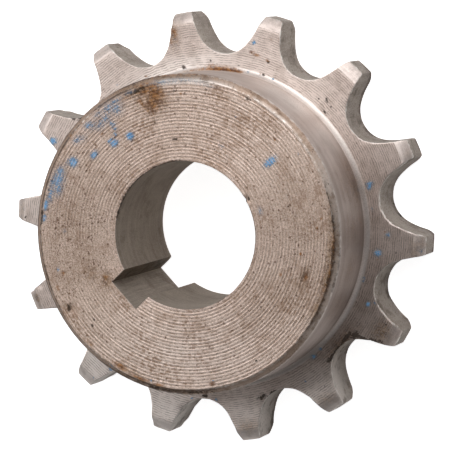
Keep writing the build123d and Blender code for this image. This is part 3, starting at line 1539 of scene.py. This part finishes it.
    def bump(self) -> Socket:
        """Cuts tool lines and pits into the steel and lays the paint proud of it.

        Returns:
            The way the steel faces.
        """
        graph = self.graph
        relief = graph.minus(self.relief, graph.times(self.pits, 1.2))
        relief = graph.plus(relief, graph.times(self.flaked, 3.0))
        feeds = {"Strength": 1.0, "Distance": self.finish.line_depth * MM, "Height": relief}
        return graph.node("ShaderNodeBump", feeds).outputs[0]

    def build(self) -> None:
        """Lays every coat and joins them to the material's output."""
        self.cut_steel()
        if self.finish.grooved:
            self.facing()
        self.stains_and_pits()
        self.edges()
        self.grime_and_rust()
        self.paint()
        shader = self.graph.node(
            "ShaderNodeBsdfPrincipled",
            {
                "Base Color": self.colour,
                "Roughness": self.matte(),
                "Metallic": self.bare(),
                "Normal": self.bump(),
                "Specular IOR Level": 0.4,
            },
        )
        if self.finish.stretch:
            round_bore = self.graph.node("ShaderNodeTangent", direction_type="RADIAL", axis="Z")
            self.graph.feed(shader.inputs["Tangent"], round_bore.outputs[0])
            shader.inputs["Anisotropic"].default_value = self.finish.stretch
            shader.inputs["Anisotropic Rotation"].default_value = 0.25
        self.graph.node("ShaderNodeOutputMaterial", {"Surface": shader.outputs[0]})


# The angle round the bore where the skin's first column and the facing groove's turns start.
FIRST_COLUMN = math.radians(90 + ToothForm.keyway_to_tooth)


def steel_finishes() -> list[SteelFinish]:
    """Lists the finish of each surface.

    Returns:
        The finishes, in the order of the material slots.
    """
    return [
        SteelFinish(
            Surface.BORE, steel_tone(194, 182, 169), steel_tone(156, 142, 130), Lay.BANDS,
            line_pitch=0.9, line_strength=0.25, line_depth=0.003, stain=steel_tone(120, 108, 90),
            pit_share=0.1, roughness=0.55, metallic=0.6, edge_amount=0.3,
        ),
        # The keyway's floor, lighter than the bore where it faces the light: painted light.
        SteelFinish(
            Surface.KEYWAY, steel_tone(210, 198, 186), steel_tone(160, 147, 135), Lay.STROKES,
            line_pitch=0.3, line_strength=0.5, roughness=0.55, metallic=0.6,
        ),
        # The keyway's walls, darker with a dark stain: painted shade, with grime.
        SteelFinish(
            Surface.SHADED_KEYWAY_WALL, steel_tone(153, 140, 124), steel_tone(97, 85, 73), Lay.STROKES,
            line_pitch=0.3, line_strength=0.5, stain=steel_tone(60, 48, 38), stain_amount=0.5,
            roughness=0.6, metallic=0.4, edge_amount=0.8,
        ),
        SteelFinish(
            Surface.HUB_END, steel_tone(242, 220, 207), steel_tone(176, 150, 133), Lay.RINGS,
            line_pitch=0.2, line_streak=34.0, line_strength=0.4, line_depth=0.008, grain_strength=0.6,
            cloud_strength=0.12, stain=steel_tone(150, 118, 94), stain_amount=0.35, pit_share=0.16,
            roughness=0.47, metallic=0.65, stretch=0.4, edge_amount=0.5, grooved=True,
        ),
        SteelFinish(
            Surface.CHAMFER, steel_tone(198, 174, 158), steel_tone(150, 127, 111), Lay.BANDS,
            line_pitch=0.4, line_streak=3.0, line_strength=0.4, stain=steel_tone(118, 94, 74),
            stain_amount=0.55, pit_share=0.24, metallic=0.8, stretch=0.6, edge_amount=0.7,
        ),
        SteelFinish(
            Surface.BARREL, steel_tone(192, 177, 170), steel_tone(166, 151, 143), Lay.BANDS,
            line_pitch=2.4, line_depth=0.003, grain_strength=0.2, stain_amount=0.12, pit_share=0.1,
            roughness=0.43, metallic=0.94, stretch=0.8,
        ),
        # The root fillet's tones are lighter than the plate's: painted highlight.
        SteelFinish(
            Surface.ROOT, steel_tone(238, 228, 222), steel_tone(210, 197, 190), Lay.RINGS,
            line_depth=0.002, stain=steel_tone(176, 166, 160), stain_amount=0.1, pit_share=0.08,
            roughness=0.36, metallic=0.7, stretch=0.7,
        ),
        SteelFinish(
            Surface.PLATE, steel_tone(238, 223, 215), steel_tone(202, 185, 176), Lay.RINGS,
            line_streak=2.4, ring_pitch=0.39, ring_strength=0.6, ring_tone=steel_tone(132, 113, 102),
            stain_amount=0.22, metallic=0.88, stretch=0.5,
        ),
        SteelFinish(
            Surface.BEVEL, steel_tone(246, 233, 226), steel_tone(204, 189, 182), Lay.RINGS,
            line_pitch=0.4, line_streak=1.2, grain_strength=0.3, cloud_strength=0.6, roughness=0.46,
            metallic=0.74,
        ),
        # Near-white rubbed edges: wear, and a painted highlight for the glints along the flanks' edges.
        SteelFinish(
            Surface.FLANK, steel_tone(188, 176, 166), steel_tone(138, 126, 116), Lay.STROKES,
            line_pitch=1.4, line_strength=0.25, grain_strength=0.55, stain=steel_tone(100, 86, 74),
            stain_amount=0.6, pit_share=0.23, roughness=0.55, metallic=0.42,
            edge_and_highlight_tone=steel_tone(250, 244, 239), edge_amount=1.0,
        ),
        SteelFinish(
            Surface.BACK, steel_tone(222, 208, 200), steel_tone(184, 168, 159), Lay.RINGS,
            line_pitch=0.8, line_streak=1.4, ring_pitch=0.45, ring_strength=0.4,
            ring_tone=steel_tone(132, 116, 106), stain_amount=0.35, metallic=0.85, stretch=0.65,
        ),
    ]


@dataclass
class SprocketUse:
    """What use has left on the sprocket: paint, rust, grime, dust, stains and dents, and painted light and
    painted shade.

    The places of marks are given by height: the angle, the distance from the axis, the length,
    the breadth and, where it isn't 1, the strength of each.
    """

    skin: SprocketSkin
    scatter_from: float = 13.5
    scatter_width: float = 24.0
    scatter_on_back: float = 0.35
    fleck_breadth: float = 0.8
    nick_count: int = 170
    nicks_in_front: float = 0.45

    def __post_init__(self) -> None:
        """Names the heights that most marks lie at."""
        self.end, self.plate = self.skin.overall_length, self.skin.plate_thickness

    @staticmethod
    def laid(trace: Trace, places: dict[float, tuple[tuple[float, ...], ...]]) -> list[Mark]:
        """Lists the marks of one trace.

        Args:
            trace: What was left there.
            places: The places of its marks, by height.

        Returns:
            The marks.
        """
        return [
            Mark(trace, angle, reach, height, *size)
            for height, spots in places.items()
            for angle, reach, *size in spots
        ]

    def paint(self) -> list[Mark]:
        """Flecks and thin smears of blue paint.

        Returns:
            The marks.
        """
        on_end = (
            (266.2, 20.1, 0.62, 1.3), (346.7, 19.5, 0.7, 0.7), (355.7, 20.1, 0.75, 0.6),
            (356.6, 20.9, 0.6, 0.3, 0.9), (352.7, 21.2, 0.35, 0.45, 0.8), (351.6, 22, 0.3, 0.5, 0.7),
            (351.1, 22.9, 0.6, 1.1, 0.7), (349.6, 25, 3.6, 1.9, 0.47), (346.2, 24.8, 1.5, 1.5, 0.6),
            (348.8, 25.6, 1.5, 0.9, 0.64), (345.6, 25.9, 1.6, 0.6, 0.62), (352.4, 24.4, 1.8, 1.1, 0.58),
            (355.8, 24.2, 1.7, 1, 0.58), (354, 25.8, 1.5, 0.6, 0.56), (0, 25.5, 0.9, 0.7, 0.72),
            (358.6, 24.9, 1.4, 1, 0.54), (7.2, 25.3, 1, 0.7, 0.66), (5, 24.6, 1, 0.7, 0.52),
            (7.2, 21.3, 0.85, 0.6, 0.85), (15.6, 23.75, 0.85, 0.85, 0.95), (16.6, 24.6, 0.9, 0.5, 0.6),
            (25.2, 24.9, 2.3, 1.3, 0.72), (21.6, 25.1, 1.2, 0.9, 0.7), (28.4, 24.4, 1.7, 1, 0.64),
            (31.5, 25.5, 1.6, 0.6, 0.7), (27, 25.8, 2, 0.6, 0.62), (36.2, 26, 0.9, 0.4),
            (34, 25.2, 0.6, 0.5, 0.55), (41.2, 26, 0.6, 0.35), (46, 22.1, 0.4, 0.4, 0.6),
            (62, 24.3, 0.35, 0.3, 0.8), (293, 16.8, 0.6, 0.5, 0.5), (338.5, 26.2, 1.2, 0.4, 0.55),
            (106, 26.9, 0.3, 0.3), (244.7, 14.3, 0.8, 0.6, 0.55), (325, 26.35, 2.4, 0.6, 0.5),
            (320.5, 26.4, 2.4, 0.6, 0.48), (315.8, 26.4, 2.4, 0.55, 0.46), (310.5, 26.25, 2.4, 0.5, 0.42),
            (305.8, 25.9, 2.2, 0.4, 0.4), (325, 26.3, 1.4, 0.2, 0.62),
        )
        on_plate = (
            (20.7, 33.9, 0.65, 0.65), (303.5, 33.2, 0.35, 0.35), (268.4, 33.8, 0.5, 0.6, 0.65),
            (242.6, 29.5, 0.5, 0.7, 0.85), (241.4, 29.2, 0.5, 0.5, 0.75), (303.3, 28, 0.3, 0.5, 0.6),
            (219.4, 30, 0.65, 0.75, 0.9), (225.5, 31.6, 0.5, 0.45, 0.8), (209.4, 28.5, 0.35, 0.3),
            (202.2, 30.7, 0.5, 0.4), (203.6, 31.7, 0.3, 0.3, 0.8), (175.7, 28.6, 0.6, 0.4, 0.85),
            (179.5, 28.4, 0.35, 0.3, 0.8), (234, 29, 0.3, 0.3, 0.8), (99, 32.6, 0.35, 0.35),
            (136.5, 30.5, 0.35, 0.3, 0.8),
        )
        on_bevel = ((221.4, 37.4, 0.4, 0.4, 0.7),)
        return self.laid(Trace.PAINT, {
            self.end: on_end, self.plate: on_plate,
            self.plate - 0.8: on_bevel,
        })

    def rust(self) -> list[Mark]:
        """Rust on the hub's end, under its rim, at its foot and on the plate.

        Returns:
            The marks.
        """
        on_end = (
            (328.8, 24.6, 1.6, 2.1, 0.76), (330.6, 23, 1.3, 1.6, 0.72), (326.4, 24.6, 0.8, 1.4, 0.66),
            (335.6, 24.1, 0.7, 0.35, 0.75), (334.8, 23.3, 0.4, 0.7, 0.72), (333.4, 22.5, 0.4, 0.9, 0.68),
            (332.2, 25.4, 1.4, 0.6, 0.72), (329, 26, 1.8, 0.5, 0.75), (331.6, 26.8, 3.2, 0.45, 0.75),
            (326.5, 22.8, 0.5, 0.9, 0.56), (341, 25.6, 1.4, 0.5, 0.5), (333, 21.6, 0.4, 0.7, 0.56),
            (108.8, 25.9, 1.4, 0.5, 0.85), (118, 26.3, 1.8, 0.3, 0.8), (147.2, 25.8, 0.5, 0.35),
            (126, 26.4, 1.2, 0.25, 0.75), (94, 26, 1, 0.5, 0.65), (74, 16.5, 0.5, 0.5, 0.8),
            (50, 21.5, 0.5, 0.4, 0.7), (64, 23.5, 0.4, 0.4, 0.8), (69, 25.4, 0.5, 0.4, 0.8),
            (209.9, 22.6, 0.7, 0.35, 0.85), (225, 26.5, 3.5, 0.4, 0.5), (215, 26.45, 3.5, 0.4, 0.5),
            (207, 26.2, 3, 0.4, 0.5),
        )
        under_rim = (
            (327.4, 27.1, 2, 0.6, 0.6), (322.5, 27.2, 3, 0.7, 0.6), (314.8, 27, 3, 0.7, 0.6),
            (309, 27.1, 2.4, 0.6, 0.56), (303.6, 27.1, 1.8, 0.5, 0.5),
        )
        at_foot = (
            (324, 27.8, 2.2, 0.45, 0.66), (320.5, 27.9, 2, 0.6, 0.72), (317.4, 27.95, 1.6, 0.65, 0.85),
            (315, 27.9, 1.5, 0.65), (312.2, 27.9, 1.5, 0.55), (309.4, 27.85, 1.4, 0.55),
            (306.8, 27.8, 0.9, 0.4), (317.8, 28.35, 0.9, 0.5), (315.2, 28.45, 0.6, 0.45),
            (312, 28.3, 0.6, 0.4), (309.9, 28.25, 0.5, 0.4),
        )
        on_plate = (
            (325.7, 37.2, 0.7, 0.4, 0.7), (329, 35.6, 0.3, 1.6, 0.56), (303.6, 31.5, 0.6, 0.35, 0.8),
            (302, 31.2, 0.6, 0.3, 0.85), (300.9, 31.4, 0.35, 0.3, 0.8), (297.8, 30.9, 0.5, 0.3, 0.75),
            (330.2, 33.6, 0.4, 1.2, 0.6), (328.4, 34.6, 0.5, 1.4, 0.56),
        )
        return self.laid(Trace.RUST, {
            self.end: on_end, 22.9: under_rim,
            self.plate + 0.45: at_foot, self.plate: on_plate,
        })

    def grime(self) -> list[Mark]:
        """Black grime on the hub, at its foot, on the plate and in the gaps.

        Returns:
            The marks.
        """
        on_end = (
            (50, 19.5, 7.5, 5.5, 0.38), (70, 22.5, 6, 3.5, 0.38), (290, 26.1, 0.9, 0.3, 0.8),
            (78.3, 25.2, 0.5, 0.4), (77.3, 25.6, 0.2, 0.5, 0.75), (79.4, 25, 0.5, 0.22, 0.75),
            (76.9, 25.1, 0.5, 0.2, 0.7), (320.3, 24.6, 0.5, 0.25, 0.8), (322, 16.5, 0.8, 0.25, 0.8),
            (336.3, 25.9, 1.5, 0.5, 0.72), (333, 26.1, 1, 0.4, 0.7), (339.6, 26.2, 0.9, 0.3, 0.7),
            (307.1, 25.3, 0.35, 0.3, 0.7), (309.6, 24, 0.4, 0.25, 0.66), (335.4, 27, 2, 0.25, 0.6),
            (41, 26.5, 1.6, 0.3, 0.9), (222, 26.5, 3, 0.3, 0.8), (212, 26.45, 2.6, 0.3, 0.8),
            (232, 26.6, 3, 0.25, 0.75), (242, 26.6, 3, 0.2, 0.7), (256, 13.2, 0.4, 0.35, 0.9),
            (209.5, 22.2, 0.25, 0.9, 0.75),
        )
        on_chamfer = (
            (218, 26.8, 3, 0.5, 0.5), (126, 27.1, 10, 0.7, 0.6), (142, 27.1, 6, 0.7, 0.62),
            (96, 27.3, 12, 0.3, 0.55), (60, 27.4, 18, 0.25, 0.6), (20, 27.4, 18, 0.25, 0.6),
            (345, 27.4, 9, 0.25, 0.65), (100, 26.7, 4, 0.3, 0.6),
        )
        at_foot = (
            (314, 27.75, 1.6, 0.3), (310.6, 27.75, 1.6, 0.3), (307.6, 27.75, 1, 0.25),
            (318, 27.75, 1.4, 0.2, 0.8), (312.2, 28.2, 0.35, 0.3), (309.8, 28.2, 0.4, 0.35),
            (315, 28.3, 0.35, 0.3, 0.8),
        )
        on_plate = (
            (192, 33, 0.35, 1.3, 0.9), (193.2, 34.6, 0.4, 1.2, 0.85), (194, 35.8, 0.5, 0.8, 0.8),
            (191.3, 31.4, 0.9, 0.5), (188.7, 30.4, 1.5, 0.4), (184, 30.7, 1.6, 0.4),
            (179.6, 30.8, 1, 0.5, 0.8), (157, 30.8, 0.9, 0.5, 0.9), (153, 30.9, 1.4, 0.6, 0.7),
            (274.6, 30.9, 0.3, 0.28, 0.9), (273.8, 30.4, 0.34, 0.3), (271.5, 30.3, 0.25, 0.22, 0.8),
            (297.4, 30.7, 0.5, 0.35, 0.8), (317.4, 29.2, 0.28, 0.25, 0.85), (350.3, 36.7, 0.9, 0.4, 0.7),
            (327.5, 28.6, 0.4, 0.45), (132.6, 30, 0.5, 0.4), (234.8, 31.2, 1, 0.4, 0.7),
            (290, 31, 0.7, 0.3, 0.7),
        )
        gap_top = (
            (12.6, 35.1, 0.3, 1.2, 0.9), (11.4, 33.7, 0.35, 1.2), (10.2, 32.3, 0.4, 1.1),
            (8.5, 31.4, 1, 0.4, 0.9),
        )
        gap_middle = ((190.8, 32.3, 0.9, 1.9, 0.9), (183, 30.5, 2, 1.2, 0.6))
        gap_foot = (
            (234, 30.4, 0.6, 0.6), (231, 30.9, 0.4, 0.9), (230.3, 31.5, 0.6, 0.8),
            (229.5, 32, 0.6, 0.5, 0.9), (226.7, 35.6, 0.7, 0.5, 0.9),
        )
        return self.laid(Trace.GRIME, {
            self.end: on_end, self.end - 0.5: on_chamfer, self.plate + 0.5: at_foot, self.plate: on_plate,
            self.plate - 0.3: gap_top, 5.0: gap_middle, 0.5: gap_foot,
        })

    def dust(self) -> list[Mark]:
        """Pale dust and painted shade lying on the hub's end, and dirt packed into the facing groove.

        Returns:
            The marks.
        """
        # Dust, and painted shade: the marks darken the end most at about 40 to 60 and 210 to 230 degrees,
        # where the turned face catches less light.
        dust_and_shade_marks = (
            (38, 20, 8, 7.5, 0.9), (62, 20.5, 7, 7, 0.8), (228, 20.5, 7, 7.5, 0.5), (10, 21, 5, 5, 0.35),
            (92, 23, 6, 4, 0.35), (210, 23, 7, 4, 0.45), (350, 24.5, 3.5, 2.5, 0.5),
        )
        packed = (
            (70, 21, 9, 6, 0.8), (100, 21, 9, 6, 0.9), (130, 21, 9, 6), (160, 21, 9, 6),
            (190, 21, 8, 6, 0.8), (300, 21, 8, 5, 0.7), (330, 23, 6, 4, 0.9), (350, 22, 6, 4, 0.6),
        )
        return self.laid(Trace.DUST, {self.end: dust_and_shade_marks}) + self.laid(Trace.PACKED, {self.end: packed})

    def stains_and_shade(self) -> list[Mark]:
        """Brown stains on every side in view, and painted shade on the hub's end and at the barrel's foot.

        Returns:
            The marks.
        """
        on_end = (
            (329.2, 24, 2.8, 2.6, 0.62), (334, 25.9, 3.4, 1, 0.75), (331.6, 22.2, 1.6, 2.2, 0.45),
            (341.5, 25.2, 3.4, 1.6, 0.3), (337, 23.2, 2.2, 1.6, 0.3), (346, 23.6, 2.6, 1.6, 0.2),
            # The broad faint marks from 230 to 250 degrees darken a sheen on the hub's end: painted shade.
            (232, 23, 7, 4, 0.2), (250, 20.5, 8, 7, 0.28), (230, 20.5, 6, 7, 0.2), (272, 20.5, 5, 7, 0.16),
            (110, 20.5, 6, 7, 0.14), (60, 24, 8, 3, 0.2), (120, 24.5, 9, 2.5, 0.18),
            (209.8, 22.4, 1.9, 0.8, 0.6), (112, 26, 5, 0.8, 0.45), (77.6, 25.2, 1.2, 0.8, 0.45),
            (222, 26.3, 6, 0.8, 0.75), (212, 26.2, 5, 0.8, 0.75), (202, 26.2, 4, 0.7, 0.6),
            (233, 26.4, 5, 0.6, 0.6), (76, 16.4, 1.5, 1.2, 0.6), (69, 18.6, 2.2, 2, 0.4),
            (86, 20.5, 5, 3, 0.2), (195, 19.5, 5, 3.5, 0.3), (183, 18.5, 5, 3, 0.3),
            (128, 17.5, 5, 3, 0.25),
        )
        on_chamfer = (
            (222, 26.7, 9, 0.5, 0.4), (136, 27.1, 9, 0.8, 0.5), (110, 27.1, 9, 0.7, 0.45),
            (318, 27.3, 6, 1.1, 0.5), (335, 27.2, 6, 0.9, 0.6),
        )
        under_rim = ((311, 27.5, 5, 1.2, 0.62), (303, 27.5, 2.5, 0.8, 0.45), (321, 27.5, 6, 1.5, 0.62))
        high_barrel = (
            (243, 27.5, 3.4, 5, 0.3), (229, 27.5, 3.6, 6, 0.32), (214, 27.5, 3.6, 6, 0.34),
            (200, 27.5, 3.6, 6, 0.34),
        )
        # Painted shade near the barrel's foot, darker towards the root.
        barrel_foot_shade = ((243, 27.5, 3.2, 3.2, 0.5), (250, 27.5, 2.6, 2.4, 0.4), (232, 27.5, 4, 2.8, 0.34))
        on_plate = (
            (196.8, 35, 2.4, 2, 0.6), (43, 37.2, 3, 0.9, 0.6), (351, 37.2, 3, 0.9, 0.4),
            (300, 37.2, 3, 0.8, 0.25), (69, 37.2, 3, 0.9, 0.35), (186, 30.6, 4, 1.6, 0.6),
            (68.6, 36.9, 1.7, 0.6, 0.8), (171, 36, 2, 1.2, 0.5), (146, 35.5, 2.4, 1.6, 0.5),
            (222, 36.6, 2, 1.2, 0.5), (329, 35, 1.2, 3, 0.6),
        )
        on_bevel = ((223.5, 37.4, 2.2, 1, 0.5), (248, 37.4, 1.2, 0.8, 0.35))
        return self.laid(Trace.STAIN, {
            self.end: on_end, self.end - 0.5: on_chamfer, 22.6: under_rim, 16.5: high_barrel,
            11.5: barrel_foot_shade, self.plate: on_plate, self.plate - 0.8: on_bevel,
        })

    def polish(self) -> list[Mark]:
        """Painted light: lighter places that stand in for the sheen on the hub's end, a reflection on its
        barrel, the root fillet's highlight and the plate where the hub's shadow falls.

        Returns:
            The marks.
        """
        on_end = (
            (322, 26.4, 8, 0.5), (312, 26.4, 6, 0.4, 0.9), (280, 26.5, 9, 0.2, 0.7),
            (262, 26.5, 5, 0.15, 0.5), (316, 26.9, 6, 0.2, 0.6), (135, 20, 9, 6, 0.3),
            (112, 21, 6, 5, 0.2),
        )
        on_barrel = ((268, 27.5, 3, 3.6, 0.4), (279, 27.5, 3.4, 4, 0.6), (291, 27.5, 3.4, 4, 0.5))
        on_plate = (
            (310, 28.9, 6, 1.3, 0.5), (326, 28.9, 7, 1.3), (337, 28.7, 5, 1.2), (94, 34, 6, 5),
            (120, 34, 6, 5), (146, 34.5, 5, 4, 0.8), (171, 35, 5, 4, 0.7), (43, 34, 5, 3, 0.4),
        )
        return self.laid(Trace.POLISH, {self.end: on_end, 12.0: on_barrel, self.plate: on_plate})

    def round_edges(self) -> list[Mark]:
        """Grime round part of the bore's lip, painted shade on the hub's root fillet, and painted light on
        its chamfer.

        Returns:
            The marks.
        """
        skin = self.skin
        root_round, chamfer = skin.hub_root_fillet / 2, skin.hub_edge_chamfer / 2
        root, rim = skin.hub_radius + root_round, skin.hub_radius - chamfer
        lip = [(angle, skin.keyway.bore_radius, 2.4, 0.42, 0.6) for angle in range(-34, 34, 8)]
        # Painted shade that dims the root fillet's highlight.
        root_painted_shade = [(angle, root, 3.0, 0.5, 0.22) for angle in range(262, 298, 5)]
        # Painted light on the chamfer, which the light leaves darker here.
        painted_chamfer_light = [(angle, rim, 4.0, 0.8, 0.6) for angle in range(198, 256, 12)]
        return [
            *self.laid(Trace.GRIME, {self.end: lip}),
            *self.laid(Trace.STAIN, {self.plate + root_round: root_painted_shade}),
            *self.laid(Trace.POLISH, {self.end - chamfer: painted_chamfer_light}),
        ]

    def scatter(self) -> list[Mark]:
        """A thin seeded scatter of small flecks over every side.

        The formula draws a fleck's angle, its distance, which grows with the square root so that
        the flecks lie evenly, its size, mostly small, and whether it lies in front or behind.

        Returns:
            The flecks.
        """
        marks = []
        draw = np.random.default_rng(7)
        for trace, count, smallest, largest in (
            (Trace.PAINT, 36, 0.12, 0.24),
            (Trace.RUST, 70, 0.15, 0.40),
            (Trace.GRIME, 90, 0.14, 0.36),
        ):
            for angle, part, size, high in draw.uniform(0, 1, (count, 4)):
                reach = self.scatter_from + self.scatter_width * math.sqrt(part)
                front = self.end if reach < self.skin.hub_radius else self.plate
                height = 0.0 if high < self.scatter_on_back else front
                along = smallest + (largest - smallest) * size**2
                marks.append(Mark(trace, 360 * angle, reach, height, along, along * self.fleck_breadth))
        return marks

    def marks(self) -> list[Mark]:
        """Lists every mark on the skin.

        Returns:
            The marks.
        """
        kinds = [self.paint, self.rust, self.grime, self.dust, self.stains_and_shade, self.polish]
        return [mark for kind in [*kinds, self.round_edges, self.scatter] for mark in kind()]

    def dents(self) -> list[Dent]:
        """The knocks on the hub and the small seeded nicks along the teeth's edges.

        Returns:
            The dents.
        """
        end = self.end
        dents = [
            Dent(256, 13.0, end, 0.45, 0.25),
            Dent(78.5, 25.0, end, 0.6, 0.12),
            Dent(290, 26.5, end, 0.7, 0.14),
            Dent(320, 24.6, end, 0.4, 0.1),
            Dent(339, 26.8, end, 0.6, 0.16),
            Dent(208, 26.8, end, 0.7, 0.12),
            Dent(150, 27.0, end - 0.3, 0.8, 0.14),
            Dent(41, 26.6, end, 0.9, 0.12),
        ]
        angles, reaches = self.skin.teeth.outline()
        front_edge, back_band = self.plate - 0.4, 1.2
        draw = np.random.default_rng(19)
        for part, size, side in draw.uniform(0, 1, (self.nick_count, 3)):
            column = int(part * len(angles))
            angle, reach = math.degrees(angles[column]), float(reaches[column])
            height = front_edge if side < self.nicks_in_front else back_band * side
            dents.append(Dent(angle, reach, height, 0.3 + 0.35 * size, 0.05 + 0.13 * size))
        return dents


@dataclass
class Studio:
    """The plain pale floor, the soft light and the camera."""

    aim: tuple[float, float, float] = (-1.443, -2.136, 10.0)
    distance: float = 504.756
    azimuth: float = -118.0596
    elevation: float = 69.9302
    roll: float = -104.9337
    lens: float = 230.108
    light_distance: float = 620.0
    floor_glow: float = 0.15
    floor_shown: float = 0.9
    floor_half: float = 1500.0
    floor_drop: float = 0.1

    @staticmethod
    def outward(azimuth: float, elevation: float) -> Vector:
        """Turns an azimuth and an elevation into a direction.

        Args:
            azimuth: Angle round the sprocket.
            elevation: Angle above the floor.

        Returns:
            The unit vector away from the sprocket.
        """
        swing, rise = math.radians(azimuth), math.radians(elevation)
        flat = math.cos(rise)
        return Vector((math.cos(swing) * flat, math.sin(swing) * flat, math.sin(rise)))

    def camera(self) -> bpy.types.Object:
        """Places the camera.

        The formula looks along the line to the aim with the sprocket's axis upright in the
        picture, and then rolls the camera about that line.

        Returns:
            The camera.
        """
        data = bpy.data.cameras.new("camera")
        data.lens = self.lens
        data.clip_start, data.clip_end = 0.01, 20.0
        camera = bpy.data.objects.new("camera", data)
        back = self.outward(self.azimuth, self.elevation)
        right = Vector((0, 0, 1)).cross(back).normalized()
        right.rotate(Matrix.Rotation(math.radians(self.roll), 3, back))
        up = back.cross(right)
        turn = Matrix((right, up, back)).transposed().to_4x4()
        place = (Vector(self.aim) + back * self.distance) * MM
        camera.matrix_world = Matrix.Translation(place) @ turn
        bpy.context.scene.collection.objects.link(camera)
        bpy.context.scene.camera = camera
        return camera

    def soft_light(
        self, name: str, azimuth: float, elevation: float, size: float, power: float
    ) -> bpy.types.Object:
        """Hangs a square soft light that faces the sprocket.

        Args:
            name: The light's name.
            azimuth: Where it hangs, round the sprocket.
            elevation: Where it hangs, above the floor.
            size: Its side.
            power: Its power in watts.

        Returns:
            The light.
        """
        data = bpy.data.lights.new(name, "AREA")
        data.energy, data.size, data.shape = power, size * MM, "SQUARE"
        light = bpy.data.objects.new(name, data)
        toward = self.outward(azimuth, elevation)
        light.location = toward * self.light_distance * MM
        light.rotation_euler = toward.to_track_quat("Z", "Y").to_euler()
        bpy.context.scene.collection.objects.link(light)
        return light

    def floor(self) -> bpy.types.Object:
        """Lays the floor just under the sprocket, a wide flat square.

        The camera sees it brighter than the sprocket does, so that it stays pale and even.

        Returns:
            The floor.
        """
        half, low = self.floor_half * MM, -self.floor_drop * MM
        mesh = bpy.data.meshes.new("floor")
        corners = [(-half, -half, low), (half, -half, low), (half, half, low), (-half, half, low)]
        mesh.from_pydata(corners, [], [(0, 1, 2, 3)])
        material = bpy.data.materials.new("pale_floor")
        material.use_nodes = True
        graph = Graph(material.node_tree)
        matt = graph.node("ShaderNodeBsdfDiffuse", {"Color": (0.86, 0.86, 0.86, 1)})
        seen = graph.node("ShaderNodeLightPath").outputs["Is Camera Ray"]
        glow = graph.step(seen, 0.0, 1.0, self.floor_glow, self.floor_shown)
        pale = graph.node("ShaderNodeEmission", {"Color": (1, 1, 1, 1), "Strength": glow})
        both = graph.node("ShaderNodeAddShader", {0: matt.outputs[0], 1: pale.outputs[0]})
        graph.node("ShaderNodeOutputMaterial", {"Surface": both.outputs[0]})
        mesh.materials.append(material)
        floor = bpy.data.objects.new("floor", mesh)
        bpy.context.scene.collection.objects.link(floor)
        floor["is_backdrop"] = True
        return floor

    def build(self) -> None:
        """Sets up the floor, the lights, the surrounding light and the camera."""
        self.floor()
        for name, azimuth, elevation, size, power in (
            ("key_light", 300.0, 42.0, 480.0, 1.36),
            ("high_key_light", 300.0, 65.0, 480.0, 0.74),
            ("low_key_light", 277.0, 22.0, 520.0, 0.64),
            ("side_light", 0.0, 50.0, 500.0, 0.9),
            ("far_side_light", 36.0, 42.0, 520.0, 1.0),
            ("far_light", 112.0, 40.0, 520.0, 0.24),
            ("low_fill_light", 190.0, 22.0, 520.0, 0.22),
        ):
            self.soft_light(name, azimuth, elevation, size, power)
        world = bpy.data.worlds.new("studio")
        world.use_nodes = True
        background = world.node_tree.nodes["Background"]
        background.inputs["Color"].default_value = (1, 1, 1, 1)
        background.inputs["Strength"].default_value = 0.0
        bpy.context.scene.world = world
        bpy.context.scene.view_settings.view_transform = "Standard"
        self.camera()


def main() -> None:
    """Builds the sprocket's skin and the studio, and reports each piece."""
    logging.basicConfig(level=logging.INFO, format="%(name)s: %(message)s")
    cad_box = [list(corner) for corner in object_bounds()]
    skin = SprocketSkin(overall_length=round(cad_box[1][2] / MM, 3))
    use = SprocketUse(skin)
    piece = skin.build(use.marks(), use.dents())
    effects = Effects()
    for finish in steel_finishes():
        piece.data.materials.append(finish.build(effects))
    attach(piece, "root")
    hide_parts("sprocket")
    faces, finishes = len(piece.data.polygons), len(piece.data.materials)
    log.info("%s: %d faces in %d finishes", piece.name, faces, finishes)
    Studio().build()
    log.info("studio: floor, soft light and camera")


if __name__ == "__main__":
    main()
